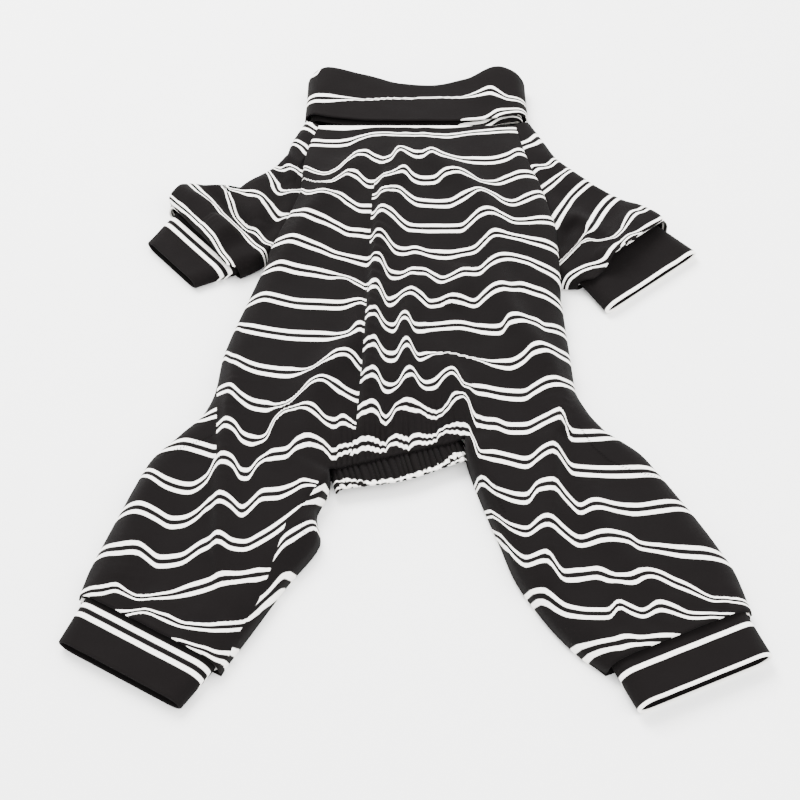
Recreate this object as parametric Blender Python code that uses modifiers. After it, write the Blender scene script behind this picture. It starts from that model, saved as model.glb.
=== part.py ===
"""A dog jumpsuit in light jersey, laid flat: a belly panel and a back panel that
run on into two hind legs, two raglan sleeves, a turned-down collar, four cuffs
and an elastic hem round the rear opening.

The plan is drawn with x across the body and y from the hem up to the neck.
Shares of HIP_WIDTH give places across, shares of BODY_LENGTH give the run from
the neck seam down, and the cuffs give the ends of legs and sleeves.
"""

from math import cos, radians, sin
from typing import NamedTuple

import bmesh
import bpy
import numpy as np

# Driving sizes in metres, for a body of 40 cm girth
BODY_LENGTH = 0.262
HIP_WIDTH = 0.204
LEG_LENGTH = 0.112
HIND_CUFF_WIDTH = 0.076
FRONT_CUFF_WIDTH = 0.072
CUFF_LENGTH = 0.025
COLLAR_WIDTH = 0.146
COLLAR_LENGTH = 0.048
HEM_LENGTH = 0.012
STRIP_WIDTH = 0.011
NECK_RISE = 0.009

# Heights of the laid cloth above the surface that it lies on
BODY_DEPTH = 0.021
LEG_DEPTH = 0.0165
SLEEVE_DEPTH = 0.0125
CUFF_DEPTH = 0.0115
FRONT_CUFF_DEPTH = 0.0092
NECK_DEPTH = 0.0135
HEM_DEPTH = 0.0105
SEAM_HEIGHT = 0.003
FOLD_HEIGHT = 0.008
FOLD_WIDTH = 0.009

# Cloth and fits
CLOTH_WALL = 0.001
CUFF_WALL = 0.0016
SEAM_GAP = 0.0004
LAP = 0.004
EDGE_ROLL = 0.014
TUBE_ROLL = 0.008
COLLAR_LAYER = 0.0032
ARMPIT_EASE = 0.012

# Mesh steps
TRUNK_ROWS = 26
LEG_ROWS = 13
SLEEVE_ROWS = 11
LEG_COLUMNS = np.array([0.0, 0.04, 0.14, 0.28, 0.42, 0.56, 0.70, 0.84, 0.95, 1.0])
HEM_COLUMNS = 8
HEM_GATHERS = 11

BLACK_JERSEY = (0.021, 0.018, 0.017, 1.0)
COLLECTION = "dog_jumpsuit"


class Side(NamedTuple):
    """Half widths of the trunk at one run from the neck seam."""

    run: float
    left: float
    right: float


class Fold(NamedTuple):
    """A crest line with its height and its widths to either side."""

    path: tuple
    height: float
    left: float
    right: float


class Slouch(NamedTuple):
    """A fold round a sleeve, at a share of the way to its cuff."""

    at: float
    height: float
    width: float


class Edge(NamedTuple):
    """Reach and lift of the collar's top edge at a share of its width."""

    across: float
    reach: float
    lift: float


class Limb(NamedTuple):
    """Where the seam of a cuff lies and how the edges of its limb bow."""

    name: str
    side: int
    across: float
    reach: float
    turn: float
    fullness: float
    rim: float
    mouth: float
    outer: tuple
    inner: tuple


SIDES = (
    Side(0.00, 0.260, 0.370),
    Side(0.07, 0.285, 0.385),
    Side(0.14, 0.300, 0.405),
    Side(0.22, 0.305, 0.435),
    Side(0.30, 0.330, 0.455),
    Side(0.37, 0.360, 0.470),
    Side(0.43, 0.385, 0.470),
    Side(0.52, 0.425, 0.470),
    Side(0.60, 0.455, 0.475),
    Side(0.68, 0.485, 0.480),
    Side(0.75, 0.505, 0.485),
    Side(0.83, 0.515, 0.490),
    Side(0.90, 0.545, 0.525),
    Side(0.95, 0.600, 0.570),
)

# The hem seam: places across, and runs from the neck seam, of its two ends
HEM_LEFT = (-0.190, 1.046)
HEM_RIGHT = (0.176, 0.966)
OUTER_RUN = 0.95
ARMPIT_LEFT = 0.43
ARMPIT_RIGHT = 0.52

HIND_LEGS = (
    Limb("left_hind", -1, -0.625, 0.98, -29.0, 1.14, 0.96, 0.80,
         ((0.0, 0.0), (0.23, 0.062), (0.51, 0.050), (0.86, 0.026), (1.0, 0.0)),
         ((0.0, 0.0), (0.07, 0.032), (0.18, 0.030), (0.33, 0.105), (0.54, 0.065),
          (0.82, 0.026), (1.0, 0.0))),
    Limb("right_hind", 1, 0.694, 1.02, 23.0, 1.10, 0.98, 1.0,
         ((0.0, 0.0), (0.20, 0.067), (0.49, 0.072), (0.78, 0.060), (1.0, 0.0)),
         ((0.0, 0.0), (0.06, 0.024), (0.24, 0.057), (0.42, 0.080), (0.58, 0.100), (0.75, 0.085),
          (0.90, 0.050), (1.0, 0.0))),
)

# Reach of a sleeve is its run from the neck seam, as a share of BODY_LENGTH
SLEEVES = (
    Limb("left_front", -1, -0.593, 0.374, -48.0, 1.00, 0.66, 0.80,
         ((0.0, 0.0), (0.15, -0.068), (0.31, -0.160), (0.52, -0.154), (0.64, -0.160), (0.70, -0.055),
          (0.77, 0.025), (0.84, 0.070), (0.90, 0.062), (1.0, 0.0)),
         ((0.0, 0.0), (0.5, 0.05), (1.0, 0.0))),
    Limb("right_front", 1, 0.671, 0.418, 39.0, 1.06, 1.04, 0.80,
         ((0.0, 0.0), (0.17, -0.050), (0.32, -0.085), (0.55, -0.083), (0.71, -0.045), (0.83, -0.010),
          (0.93, 0.005), (1.0, 0.0)),
         ((0.0, 0.0), (0.5, 0.05), (1.0, 0.0))),
)

SLOUCHES = {
    "left_front": (Slouch(0.34, 0.25, 0.09), Slouch(0.62, 0.45, 0.10), Slouch(0.88, 0.55, 0.09)),
    "right_front": (Slouch(0.55, 0.20, 0.12), Slouch(0.92, 0.55, 0.10)),
}

# The collar's section as (share of its length, share of the way to its outer layer)
COLLAR_PROFILE = (
    (-0.01, 0.0), (0.14, 0.0), (0.40, 0.0), (0.70, 0.0), (0.94, 0.0), (0.99, 0.18), (1.0, 0.5),
    (0.99, 0.82), (0.94, 1.0), (0.70, 1.0), (0.42, 1.05), (0.0, 1.2),
)
COLLAR_CENTRE = 0.054

# Share of its length at which the outer layer ends on the underside
COLLAR_UNDER = 0.16
COLLAR_EDGE = (
    Edge(0.00, 0.86, 0.0), Edge(0.10, 1.02, 0.30), Edge(0.25, 1.00, 0.10), Edge(0.42, 0.88, -0.10),
    Edge(0.55, 0.84, -0.12), Edge(0.73, 0.93, 0.0), Edge(0.87, 1.04, 0.35), Edge(1.00, 0.82, 0.0),
)

# Crest lines as (across, run), heights as shares of FOLD_HEIGHT, widths of FOLD_WIDTH
FOLDS = (
    Fold(((-0.04, 0.16), (-0.06, 0.33), (-0.08, 0.60), (-0.09, 0.83), (-0.11, 1.02)), 1.05, 0.45, 0.85),
    Fold(((0.035, 0.50), (0.030, 0.60), (0.015, 0.74), (0.015, 0.92)), 0.60, 0.60, 0.70),
    Fold(((0.19, 0.50), (0.17, 0.56), (0.13, 0.64)), 0.60, 1.0, 1.0),
    Fold(((0.13, 0.76), (0.19, 0.88), (0.22, 0.98)), 0.60, 1.0, 0.5),
    Fold(((0.06, 0.10), (0.16, 0.19), (0.25, 0.30), (0.285, 0.42)), 0.70, 1.0, 1.1),
    Fold(((0.285, 0.40), (0.29, 0.56), (0.33, 0.67), (0.41, 0.79), (0.44, 0.94)), 0.80, 1.1, 0.9),
    Fold(((0.0, 0.08), (0.005, 0.18), (-0.06, 0.26)), 0.55, 0.7, 0.7),
    Fold(((-0.11, 0.10), (-0.22, 0.25), (-0.31, 0.41), (-0.34, 0.52)), 0.60, 1.0, 1.0),
    Fold(((-0.11, 0.58), (-0.12, 0.70), (-0.22, 0.83), (-0.25, 0.92), (-0.24, 1.02)), 0.75, 1.0, 1.0),
    Fold(((-0.46, 0.80), (-0.47, 1.03), (-0.465, 1.22), (-0.445, 1.34)), 0.80, 0.5, 0.9),
    Fold(((-0.65, 1.02), (-0.67, 1.15), (-0.70, 1.36)), 0.60, 1.2, 1.2),
    Fold(((0.455, 0.88), (0.41, 1.00), (0.40, 1.10), (0.375, 1.30)), 0.80, 1.0, 0.8),
    Fold(((0.50, 1.08), (0.53, 1.21), (0.62, 1.32)), 0.50, 1.0, 1.0),
)


def shape(rows, at):
    """Read a smooth curve through the (at, value) rows of a table."""
    x, y = np.array(rows, dtype=float).T
    slope = np.gradient(y, x)
    at = np.clip(at, x[0], x[-1])
    k = np.clip(np.searchsorted(x, at, side="right") - 1, 0, len(x) - 2)
    step = x[k + 1] - x[k]
    t = (at - x[k]) / step
    rise = 3 * t**2 - 2 * t**3
    bend = slope[k] * t * (1 - t) ** 2 - slope[k + 1] * t**2 * (1 - t)
    return y[k] + (y[k + 1] - y[k]) * rise + step * bend


def smooth_step(value):
    """Ease from 0 to 1."""
    value = np.clip(value, 0.0, 1.0)
    return value * value * (3 - 2 * value)


def roll_over(distance, radius):
    """Rise of a rolled edge: 0 on the seam, 1 past the radius."""
    inside = 1 - np.clip(distance / np.maximum(radius, 1e-6), 0.0, 1.0)
    return np.sqrt(1 - inside**2)


def plan(across, run):
    """Turn shares of the two main sizes into a plan point."""
    return np.array([across * HIP_WIDTH, -run * BODY_LENGTH])


def bowed_edge(start, end, bows, outward, at):
    """An edge from start to end that bows outward by shares of its length."""
    chord = end - start
    length = np.hypot(*chord)
    normal = np.array([chord[1], -chord[0]]) / length
    if normal @ outward < 0:
        normal = -normal
    bow = shape(bows, at)
    return start + np.outer(at, chord) + np.outer(bow * length, normal)


def patch(first, last, left, right, rows=None):
    """Fill a plan patch between its first and last rows and its two edges."""
    t = (np.linspace(0, 1, len(left)) if rows is None else rows)[:, None, None]
    c = row_shares(first)[None, :, None]
    across = (1 - t) * first[None] + t * last[None]
    along = (1 - c) * left[:, None] + c * right[:, None]
    corners = (1 - t) * ((1 - c) * first[0] + c * first[-1]) + t * ((1 - c) * last[0] + c * last[-1])
    return across + along - corners


def row_shares(row):
    """Share of its own length at each point of a row."""
    steps = np.hypot(*np.diff(row, axis=0).T)
    return np.concatenate([[0.0], np.cumsum(steps)]) / steps.sum()


def trunk_edge(side, runs):
    """Plan points of the left or right edge of the trunk at the given runs."""
    table = [(row.run, row.left if side < 0 else row.right) for row in SIDES]
    return np.column_stack([side * shape(table, runs) * HIP_WIDTH, -runs * BODY_LENGTH])


def cuff_line(limb, base_run, length):
    """Centre, direction along the seam and outward axis of a cuff."""
    centre = np.array([limb.across * HIP_WIDTH, -base_run * BODY_LENGTH - limb.reach * length])
    along = np.array([cos(radians(limb.turn)), sin(radians(limb.turn))])
    return centre, along, np.array([along[1], -along[0]])


def fold_lift(points):
    """Height that all folds add at plan points of any array shape."""
    flat = points.reshape(-1, 2)
    lift = np.zeros(len(flat))
    for fold in FOLDS:
        knots = np.array([plan(*knot) for knot in fold.path])
        at = np.linspace(0, 1, 7 * len(knots))
        spread = np.linspace(0, 1, len(knots))
        crest = np.column_stack([shape(list(zip(spread, column)), at) for column in knots.T])
        away = flat[:, None] - crest[None]
        nearest = np.argmin((away**2).sum(axis=2), axis=1)
        heading = np.gradient(crest, axis=0)[nearest]
        heading /= np.linalg.norm(heading, axis=1)[:, None]
        gap = away[np.arange(len(flat)), nearest]
        beside = heading[:, 0] * gap[:, 1] - heading[:, 1] * gap[:, 0]
        beyond = (heading * gap).sum(axis=1)
        wide = np.where(beside > 0, fold.right, fold.left) * FOLD_WIDTH
        taper = np.sin(np.pi * np.clip(at[nearest], 0.02, 0.98)) ** 0.5
        reach = np.exp(-((beside / wide) ** 2) - (beyond / FOLD_WIDTH) ** 2)
        lift += fold.height * FOLD_HEIGHT * taper * reach
    return lift.reshape(points.shape[:-1])


def trunk_plan(rows, hem_columns=HEM_COLUMNS, leg_columns=LEG_COLUMNS):
    """Plan grid of the trunk, and the columns where its hem begins and ends."""
    runs = np.linspace(0, OUTER_RUN, rows + 1)
    left, right = trunk_edge(-1, runs), trunk_edge(1, runs)
    hem_left, hem_right = plan(*HEM_LEFT), plan(*HEM_RIGHT)
    hem_shares = np.linspace(0, 1, hem_columns + 1)[:, None]
    last = np.vstack([
        left[-1] + leg_columns[:, None] * (hem_left - left[-1]),
        (hem_left + hem_shares * (hem_right - hem_left))[1:-1],
        hem_right + (1 - leg_columns[::-1, None]) * (right[-1] - hem_right),
    ])
    first = left[0] + row_shares(last)[:, None] * (right[0] - left[0])
    return patch(first, last, left, right), len(leg_columns) - 1, len(leg_columns) + hem_columns - 1


def leg_plan(limb, start, rows):
    """Plan grid of a hind leg from its first row down to the seam of its cuff."""
    centre, along, _ = cuff_line(limb, 1.0, LEG_LENGTH)
    half = HIND_CUFF_WIDTH * limb.fullness / 2
    ends = centre - along * half, centre + along * half
    at = np.linspace(0, 1, rows + 1)
    left_bows, right_bows = (limb.outer, limb.inner) if limb.side < 0 else (limb.inner, limb.outer)
    left = bowed_edge(start[0], ends[0], left_bows, np.array([-1.0, 0.0]), at)
    right = bowed_edge(start[-1], ends[1], right_bows, np.array([1.0, 0.0]), at)
    last = ends[0] + row_shares(start)[:, None] * (ends[1] - ends[0])
    return patch(start, last, left, right)


def edge_distances(grid):
    """Distance of each point of a plan grid from the two ends of its row."""
    from_left = np.linalg.norm(grid - grid[:, :1], axis=2)
    from_right = np.linalg.norm(grid - grid[:, -1:], axis=2)
    return from_left, from_right


def trunk_top(grid, hem_start, hem_end):
    """Height of the belly panel over the trunk."""
    run = np.linspace(0, 1, len(grid))[:, None]
    column = np.arange(grid.shape[1])[None]
    crown = shape(((0.0, NECK_DEPTH), (0.15, 0.86 * BODY_DEPTH), (0.45, BODY_DEPTH),
                   (0.8, 0.98 * BODY_DEPTH), (1.0, 0.86 * BODY_DEPTH)), run)
    hem_span = smooth_step((column - hem_start + 2) / 3) * smooth_step((hem_end + 2 - column) / 3)
    crown = crown - (crown - HEM_DEPTH) * hem_span * smooth_step((run - 0.8) / 0.2)
    height = np.broadcast_to(crown, grid.shape[:2]) * 1.0
    from_left, from_right = edge_distances(grid)
    for armpit, away in ((ARMPIT_LEFT, from_left), (ARMPIT_RIGHT, from_right)):
        open_edge = NECK_DEPTH - (NECK_DEPTH - SEAM_HEIGHT) * smooth_step((run * OUTER_RUN - armpit) / 0.04)
        height = open_edge + (height - open_edge) * roll_over(away, EDGE_ROLL)
    free = smooth_step(run / 0.08) * smooth_step((1.0 - run * hem_span) / 0.08)
    side = roll_over(np.minimum(from_left, from_right), EDGE_ROLL)
    return height + fold_lift(grid) * free * side


def leg_top(limb, grid):
    """Height of the belly panel over a hind leg."""
    run = np.linspace(0, 1, len(grid))[:, None]
    crown = shape(((0.0, 0.86 * BODY_DEPTH), (0.3, LEG_DEPTH), (1.0, 0.88 * LEG_DEPTH)), run)
    from_left, from_right = edge_distances(grid)
    outer, inner = (from_left, from_right) if limb.side < 0 else (from_right, from_left)
    inner_seam = HEM_DEPTH - (HEM_DEPTH - SEAM_HEIGHT) * smooth_step(run / 0.12)
    inner_roll = EDGE_ROLL * (0.15 + 0.85 * smooth_step(run / 0.3))
    height = SEAM_HEIGHT + (crown - SEAM_HEIGHT) * roll_over(outer, EDGE_ROLL)
    height = inner_seam + (height - inner_seam) * roll_over(inner, inner_roll)
    side = roll_over(outer, EDGE_ROLL) * roll_over(inner, inner_roll)
    return height + fold_lift(grid) * side * smooth_step((1 - run) / 0.15)


def under_height(grid):
    """Height of a sheet that lies on the surface and turns up at its side seams."""
    from_left, from_right = edge_distances(grid)
    low = CLOTH_WALL / 2
    edge = SEAM_HEIGHT - 2 * SEAM_GAP
    return low + (edge - low) * (1 - roll_over(np.minimum(from_left, from_right), TUBE_ROLL))


def raise_grid(grid, height):
    """Join a plan grid and its heights into points."""
    return np.concatenate([grid, height[..., None]], axis=2)


def new_object(name, vertices, faces, wall, colour=BLACK_JERSEY):
    """Make one cloth piece from an open surface, with its wall and its material."""
    mesh = bpy.data.meshes.new(name)
    mesh.from_pydata([tuple(v) for v in vertices], [], faces)
    work = bmesh.new()
    work.from_mesh(mesh)
    bmesh.ops.remove_doubles(work, verts=work.verts, dist=1e-6)
    bmesh.ops.recalc_face_normals(work, faces=work.faces)
    work.to_mesh(mesh)
    work.free()
    mesh.shade_smooth()
    piece = bpy.data.objects.new(name, mesh)
    bpy.data.collections[COLLECTION].objects.link(piece)
    shell = piece.modifiers.new("wall", "SOLIDIFY")
    shell.thickness = wall
    shell.offset = 0.0
    cloth = bpy.data.materials.new(name + "_jersey")
    cloth.use_nodes = True
    shader = cloth.node_tree.nodes["Principled BSDF"]
    shader.inputs["Base Color"].default_value = colour
    shader.inputs["Roughness"].default_value = 0.75
    shader.inputs["Metallic"].default_value = 0.0
    mesh.materials.append(cloth)
    return piece


def grid_faces(rows, columns, start=0, closed=False):
    """Faces of a grid of points, closed round its columns where it is a tube."""
    faces = []
    for i in range(rows - 1):
        for j in range(columns if closed else columns - 1):
            k = (j + 1) % columns
            faces.append((start + i * columns + j, start + i * columns + k,
                          start + (i + 1) * columns + k, start + (i + 1) * columns + j))
    return faces


def panel(name, grids, wall):
    """One panel from several point grids that share their seam rows."""
    vertices, faces = [], []
    for grid in grids:
        faces += grid_faces(grid.shape[0], grid.shape[1], start=len(vertices))
        vertices += list(grid.reshape(-1, 3))
    return new_object(name, vertices, faces, wall)


def tube(name, rings, wall):
    """One open tube from a list of closed rings."""
    rings = np.array(rings)
    vertices = list(rings.reshape(-1, 3))
    return new_object(name, vertices, grid_faces(len(rings), rings.shape[1], closed=True), wall)


def ring(top, bottom, seam_height):
    """A closed ring from a top row and a bottom row of points, both left to right."""
    left, right = top[0].copy(), top[-1].copy()
    left[2] = right[2] = seam_height
    return np.vstack([[left], top[1:-1], [right], bottom[1:-1][::-1]])


def belly_panel():
    """The upper sheet: trunk and both hind legs."""
    grid, hem_start, hem_end = trunk_plan(TRUNK_ROWS)
    height = trunk_top(grid, hem_start, hem_end)
    grids = [raise_grid(grid, height)]
    for limb, span in zip(HIND_LEGS, (slice(0, hem_start + 1), slice(hem_end, None))):
        leg = leg_plan(limb, grid[-1, span], LEG_ROWS)
        rise = leg_top(limb, leg)
        rise[0] = height[-1, span]
        grids.append(raise_grid(leg, rise))
    return panel("belly_panel", grids, CLOTH_WALL)


def back_panel():
    """The lower sheet, flat on the surface with its side seams turned up."""
    leg_columns = np.array([0.0, 0.04, 0.12, 0.5, 0.88, 0.96, 1.0])
    grid, hem_start, hem_end = trunk_plan(TRUNK_ROWS // 2, 4, leg_columns)
    height = under_height(grid)
    run = np.linspace(0, OUTER_RUN, len(grid))[:, None]
    columns = np.arange(grid.shape[1])[None]
    armpit = np.where(columns < grid.shape[1] // 2, ARMPIT_LEFT, ARMPIT_RIGHT)
    low = CLOTH_WALL / 2
    height = low + (height - low) * smooth_step((run - armpit) / 0.05)
    grids = [raise_grid(grid, height)]
    for limb, span in zip(HIND_LEGS, (slice(0, hem_start + 1), slice(hem_end, None))):
        leg = leg_plan(limb, grid[-1, span], LEG_ROWS // 2)
        rise = under_height(leg)
        rise[0] = height[-1, span]
        rise[-1] = low
        grids.append(raise_grid(leg, rise))
    return panel("back_panel", grids, CLOTH_WALL)


def neckline(shares):
    """Rise of the collar's seam above the neck seam of the panels, higher at its ends."""
    return NECK_RISE * np.abs(2 * shares - 1) ** 4


def edge_shares(inner, margin):
    """Shares across a tube, closer together on the rolls at both ends."""
    return np.concatenate([
        [0.0, 0.13 * margin, 0.5 * margin],
        np.linspace(margin, 1 - margin, inner + 1),
        [1 - 0.5 * margin, 1 - 0.13 * margin, 1.0],
    ])


def along_path(path, shares):
    """Points at shares of the length of a path."""
    at = row_shares(path)
    return np.column_stack([np.interp(shares, at, column) for column in path.T])


def raglan_row(side, inset, shares):
    """First row of a sleeve, left to right: the raglan seam and the sleeve's neck edge."""
    armpit = ARMPIT_LEFT if side < 0 else ARMPIT_RIGHT
    path = trunk_edge(side, np.linspace(armpit - ARMPIT_EASE, 0.0, 24))
    from_armpit = path[:, 1] - path[0, 1]
    path[:, 0] += side * 3 * SEAM_GAP
    path[:, 0] -= side * (inset + 3 * SEAM_GAP) * smooth_step(from_armpit / EDGE_ROLL)
    neck = path[-1] + np.array([side * (STRIP_WIDTH + inset), NECK_RISE - 2 * SEAM_GAP])
    path = np.vstack([path, [neck]])
    return along_path(path[::-1] if side < 0 else path, shares)


def sleeve_plan(limb, inset, shares, rows):
    """Plan grid of a sleeve from its raglan seam to the seam of its cuff."""
    first = raglan_row(limb.side, inset, shares)
    centre, along, _ = cuff_line(limb, 0.0, BODY_LENGTH)
    half = FRONT_CUFF_WIDTH * limb.fullness / 2
    ends = centre - along * half, centre + along * half
    left_bows, right_bows = (limb.outer, limb.inner) if limb.side < 0 else (limb.inner, limb.outer)
    outward = np.array([0.0, 1.0])
    left = bowed_edge(first[0], ends[0], left_bows, outward if limb.side < 0 else -outward, rows)
    right = bowed_edge(first[-1], ends[1], right_bows, -outward if limb.side < 0 else outward, rows)
    last = ends[0] + shares[:, None] * (ends[1] - ends[0])
    return patch(first, last, left, right, rows)


def sleeve_top(limb, grid, rows):
    """Height of the upper side of a sleeve, with its slouched folds."""
    run = rows[:, None]
    seam = NECK_DEPTH - CLOTH_WALL - SEAM_GAP
    crown = seam + (SLEEVE_DEPTH - seam) * smooth_step(run / 0.3)
    from_left, from_right = edge_distances(grid)
    side = roll_over(np.minimum(from_left, from_right), TUBE_ROLL)
    from_armpit = from_right if limb.side < 0 else from_left
    free = smooth_step(from_armpit / EDGE_ROLL - 1) * smooth_step(run / 0.3)
    for slouch in SLOUCHES[limb.name]:
        bump = np.exp(-(((run - slouch.at) / slouch.width) ** 2))
        crown = crown + slouch.height * FOLD_HEIGHT * bump * free
    return SEAM_HEIGHT + (crown - SEAM_HEIGHT) * side


def sleeve(limb):
    """A raglan sleeve: an open tube from the raglan seam to its cuff."""
    rows = np.concatenate([[0.0, 0.05], np.linspace(0.12, 1.0, SLEEVE_ROWS)])
    top_shares = edge_shares(9, 0.08)
    bottom_shares = np.array([0.0, 0.02, 0.08, 0.3, 0.5, 0.7, 0.92, 0.98, 1.0])
    top = sleeve_plan(limb, LAP, top_shares, rows)
    bottom = sleeve_plan(limb, -3 * SEAM_GAP, bottom_shares, rows)
    height = sleeve_top(limb, top, rows)
    low = np.full(bottom.shape[:2], CLOTH_WALL / 2)
    from_left, from_right = edge_distances(bottom)
    low += (SEAM_HEIGHT - low) * (1 - roll_over(np.minimum(from_left, from_right), TUBE_ROLL))
    top, bottom = raise_grid(top, height), raise_grid(bottom, low)
    rings = [ring(upper, under, SEAM_HEIGHT) for upper, under in zip(top, bottom)]
    return tube(limb.name.replace("_front", "_sleeve"), rings, CLOTH_WALL)


def cuff(limb, base_run, length, width, depth):
    """A band cuff, tucked under the end of its limb and open at its mouth."""
    centre, along, axis = cuff_line(limb, base_run, length)
    top_shares = edge_shares(6, 0.10)
    bottom_shares = np.array([0.0, 0.03, 0.10, 0.5, 0.90, 0.97, 1.0])
    rings = []
    for share in (0.0, 0.15, 0.35, 0.7, 1.0):
        seam_half = width * limb.fullness / 2 - LAP
        half = seam_half + (width * limb.rim / 2 - seam_half) * share
        rise = depth * (1 + (limb.mouth - 1) * share)
        top_at = -LAP + share * (CUFF_LENGTH + LAP)
        bottom_at = 2 * SEAM_GAP + share * (CUFF_LENGTH - 2 * SEAM_GAP)
        top = centre + axis * top_at + np.outer(2 * top_shares - 1, along * half)
        bottom = centre + axis * bottom_at + np.outer(2 * bottom_shares - 1, along * half)
        seam = CUFF_WALL / 2 + 0.45 * (rise - CUFF_WALL / 2)
        over = roll_over(half - np.abs(2 * top_shares - 1) * half, TUBE_ROLL)
        under = roll_over(half - np.abs(2 * bottom_shares - 1) * half, TUBE_ROLL)
        top = np.column_stack([top, seam + (rise - seam) * over])
        bottom = np.column_stack([bottom, seam - (seam - CUFF_WALL / 2) * under])
        rings.append(ring(top, bottom, seam))
    return tube(limb.name + "_cuff", rings, CUFF_WALL)


def collar():
    """The turned-down collar: an inner band, a fold at the top and an outer band."""
    centre = COLLAR_CENTRE * HIP_WIDTH
    top_shares = edge_shares(18, 0.06)
    bottom_shares = edge_shares(6, 0.06)
    low = CLOTH_WALL / 2 + SEAM_GAP
    seam_top = NECK_DEPTH - CLOTH_WALL - SEAM_GAP
    rings = []
    for along, layer in COLLAR_PROFILE:
        half = COLLAR_WIDTH / 2 - COLLAR_LAYER * (1 - layer)
        seam = 0.45 * NECK_DEPTH
        strands = []
        for shares, upper in ((top_shares, True), (bottom_shares, False)):
            reach = shape([(row.across, row.reach) for row in COLLAR_EDGE], shares)
            lift = shape([(row.across, row.lift) for row in COLLAR_EDGE], shares)
            across = centre + (2 * shares - 1) * half
            start = 0.0 if upper else COLLAR_UNDER * min(layer, 1.0)
            up = neckline(shares) + max(along, start) * COLLAR_LENGTH * reach + 2 * SEAM_GAP
            if upper:
                tucked = 1 - smooth_step((np.abs(2 * shares - 1) - 0.55) / 0.2)
                up = up - (LAP + 2 * SEAM_GAP) * tucked * (1 - smooth_step(along / 0.12))
                level = seam_top + COLLAR_LAYER * layer
                level = level + lift * NECK_DEPTH * smooth_step(along)
            else:
                level = low + COLLAR_LAYER * max(1 - layer, 0.0) * smooth_step(along / COLLAR_UNDER)
            rolled = roll_over(half - np.abs(2 * shares - 1) * half, TUBE_ROLL)
            strands.append(np.column_stack([across, up, seam + (level - seam) * rolled]))
        rings.append(ring(strands[0], strands[1], seam))
    return tube("collar", rings, CLOTH_WALL)


def elastic_hem():
    """The gathered band round the rear opening, under the hem seam of the belly panel."""
    left, right = plan(*HEM_LEFT), plan(*HEM_RIGHT)
    along = (right - left) / np.linalg.norm(right - left)
    axis = np.array([along[1], -along[0]])
    inset = 3 * SEAM_GAP + 2.5 * CLOTH_WALL
    left, right = left + along * inset, right - along * inset
    top_shares = np.linspace(0, 1, 3 * HEM_GATHERS + 1)
    bottom_shares = np.linspace(0, 1, 7)
    rings = []
    for share in (0.0, 0.3, 0.55, 0.8, 1.0):
        rise = HEM_DEPTH - CLOTH_WALL - SEAM_GAP - 0.1 * HEM_DEPTH * share
        seam = 0.4 * HEM_DEPTH
        pucker = 0.5 * CUFF_WALL * share * np.sin(2 * np.pi * HEM_GATHERS * top_shares)
        top = left + np.outer(top_shares, right - left) + axis * (share * (HEM_LENGTH + LAP) - LAP)
        under_at = 3 * SEAM_GAP + 0.4 * share * HEM_LENGTH
        bottom = left + np.outer(bottom_shares, right - left) + axis * under_at
        width = np.linalg.norm(right - left)
        over = roll_over(width * np.minimum(top_shares, 1 - top_shares), TUBE_ROLL / 2)
        under = roll_over(width * np.minimum(bottom_shares, 1 - bottom_shares), TUBE_ROLL / 2)
        top = np.column_stack([top, seam + (rise + pucker - seam) * over])
        bottom = np.column_stack([bottom, seam - (seam - CLOTH_WALL / 2) * under])
        rings.append(ring(top, bottom, seam))
    return tube("elastic_hem", rings, CLOTH_WALL)


def seat_at_origin():
    """Move the suit so that the middle of its footprint is the origin."""
    pieces = list(bpy.data.collections[COLLECTION].objects)
    graph = bpy.context.evaluated_depsgraph_get()
    corners = np.array([corner[:] for piece in pieces for corner in piece.evaluated_get(graph).bound_box])
    low, high = corners.min(axis=0), corners.max(axis=0)
    for piece in pieces:
        piece.location = (-(low[0] + high[0]) / 2, -(low[1] + high[1]) / 2, -low[2])


def main():
    """Build every piece of the jumpsuit."""
    for old in list(bpy.data.objects):
        bpy.data.objects.remove(old, do_unlink=True)
    bpy.context.scene.collection.children.link(bpy.data.collections.new(COLLECTION))
    belly_panel()
    back_panel()
    for limb in SLEEVES:
        sleeve(limb)
        cuff(limb, 0.0, BODY_LENGTH, FRONT_CUFF_WIDTH, FRONT_CUFF_DEPTH)
    for limb in HIND_LEGS:
        cuff(limb, 1.0, LEG_LENGTH, HIND_CUFF_WIDTH, CUFF_DEPTH)
    collar()
    elastic_hem()
    seat_at_origin()


main()
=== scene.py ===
"""A dog jumpsuit in black and white striped jersey, laid flat on a pale floor."""

import logging
from dataclasses import dataclass
from enum import Enum
from math import cos, pi, radians, sin
from typing import NamedTuple, Optional, Sequence

import bmesh
import bpy
import numpy as np
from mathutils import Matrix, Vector, noise
from mathutils.bvhtree import BVHTree


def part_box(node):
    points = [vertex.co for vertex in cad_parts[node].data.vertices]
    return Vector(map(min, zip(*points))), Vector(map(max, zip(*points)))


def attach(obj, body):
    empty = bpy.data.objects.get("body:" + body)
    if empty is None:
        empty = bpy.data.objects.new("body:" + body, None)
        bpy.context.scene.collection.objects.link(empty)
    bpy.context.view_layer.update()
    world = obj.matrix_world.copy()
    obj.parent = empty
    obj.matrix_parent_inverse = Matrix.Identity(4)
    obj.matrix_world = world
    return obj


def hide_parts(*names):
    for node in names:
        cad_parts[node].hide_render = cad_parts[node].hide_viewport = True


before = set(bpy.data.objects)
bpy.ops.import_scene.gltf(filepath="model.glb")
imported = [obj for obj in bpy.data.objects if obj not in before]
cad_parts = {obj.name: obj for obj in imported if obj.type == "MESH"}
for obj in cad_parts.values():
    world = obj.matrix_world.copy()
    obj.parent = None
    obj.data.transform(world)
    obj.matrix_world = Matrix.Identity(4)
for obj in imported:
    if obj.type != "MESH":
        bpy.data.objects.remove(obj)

LOG = logging.getLogger("jumpsuit")
Grid = np.ndarray
Rows = Sequence[tuple]


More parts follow.
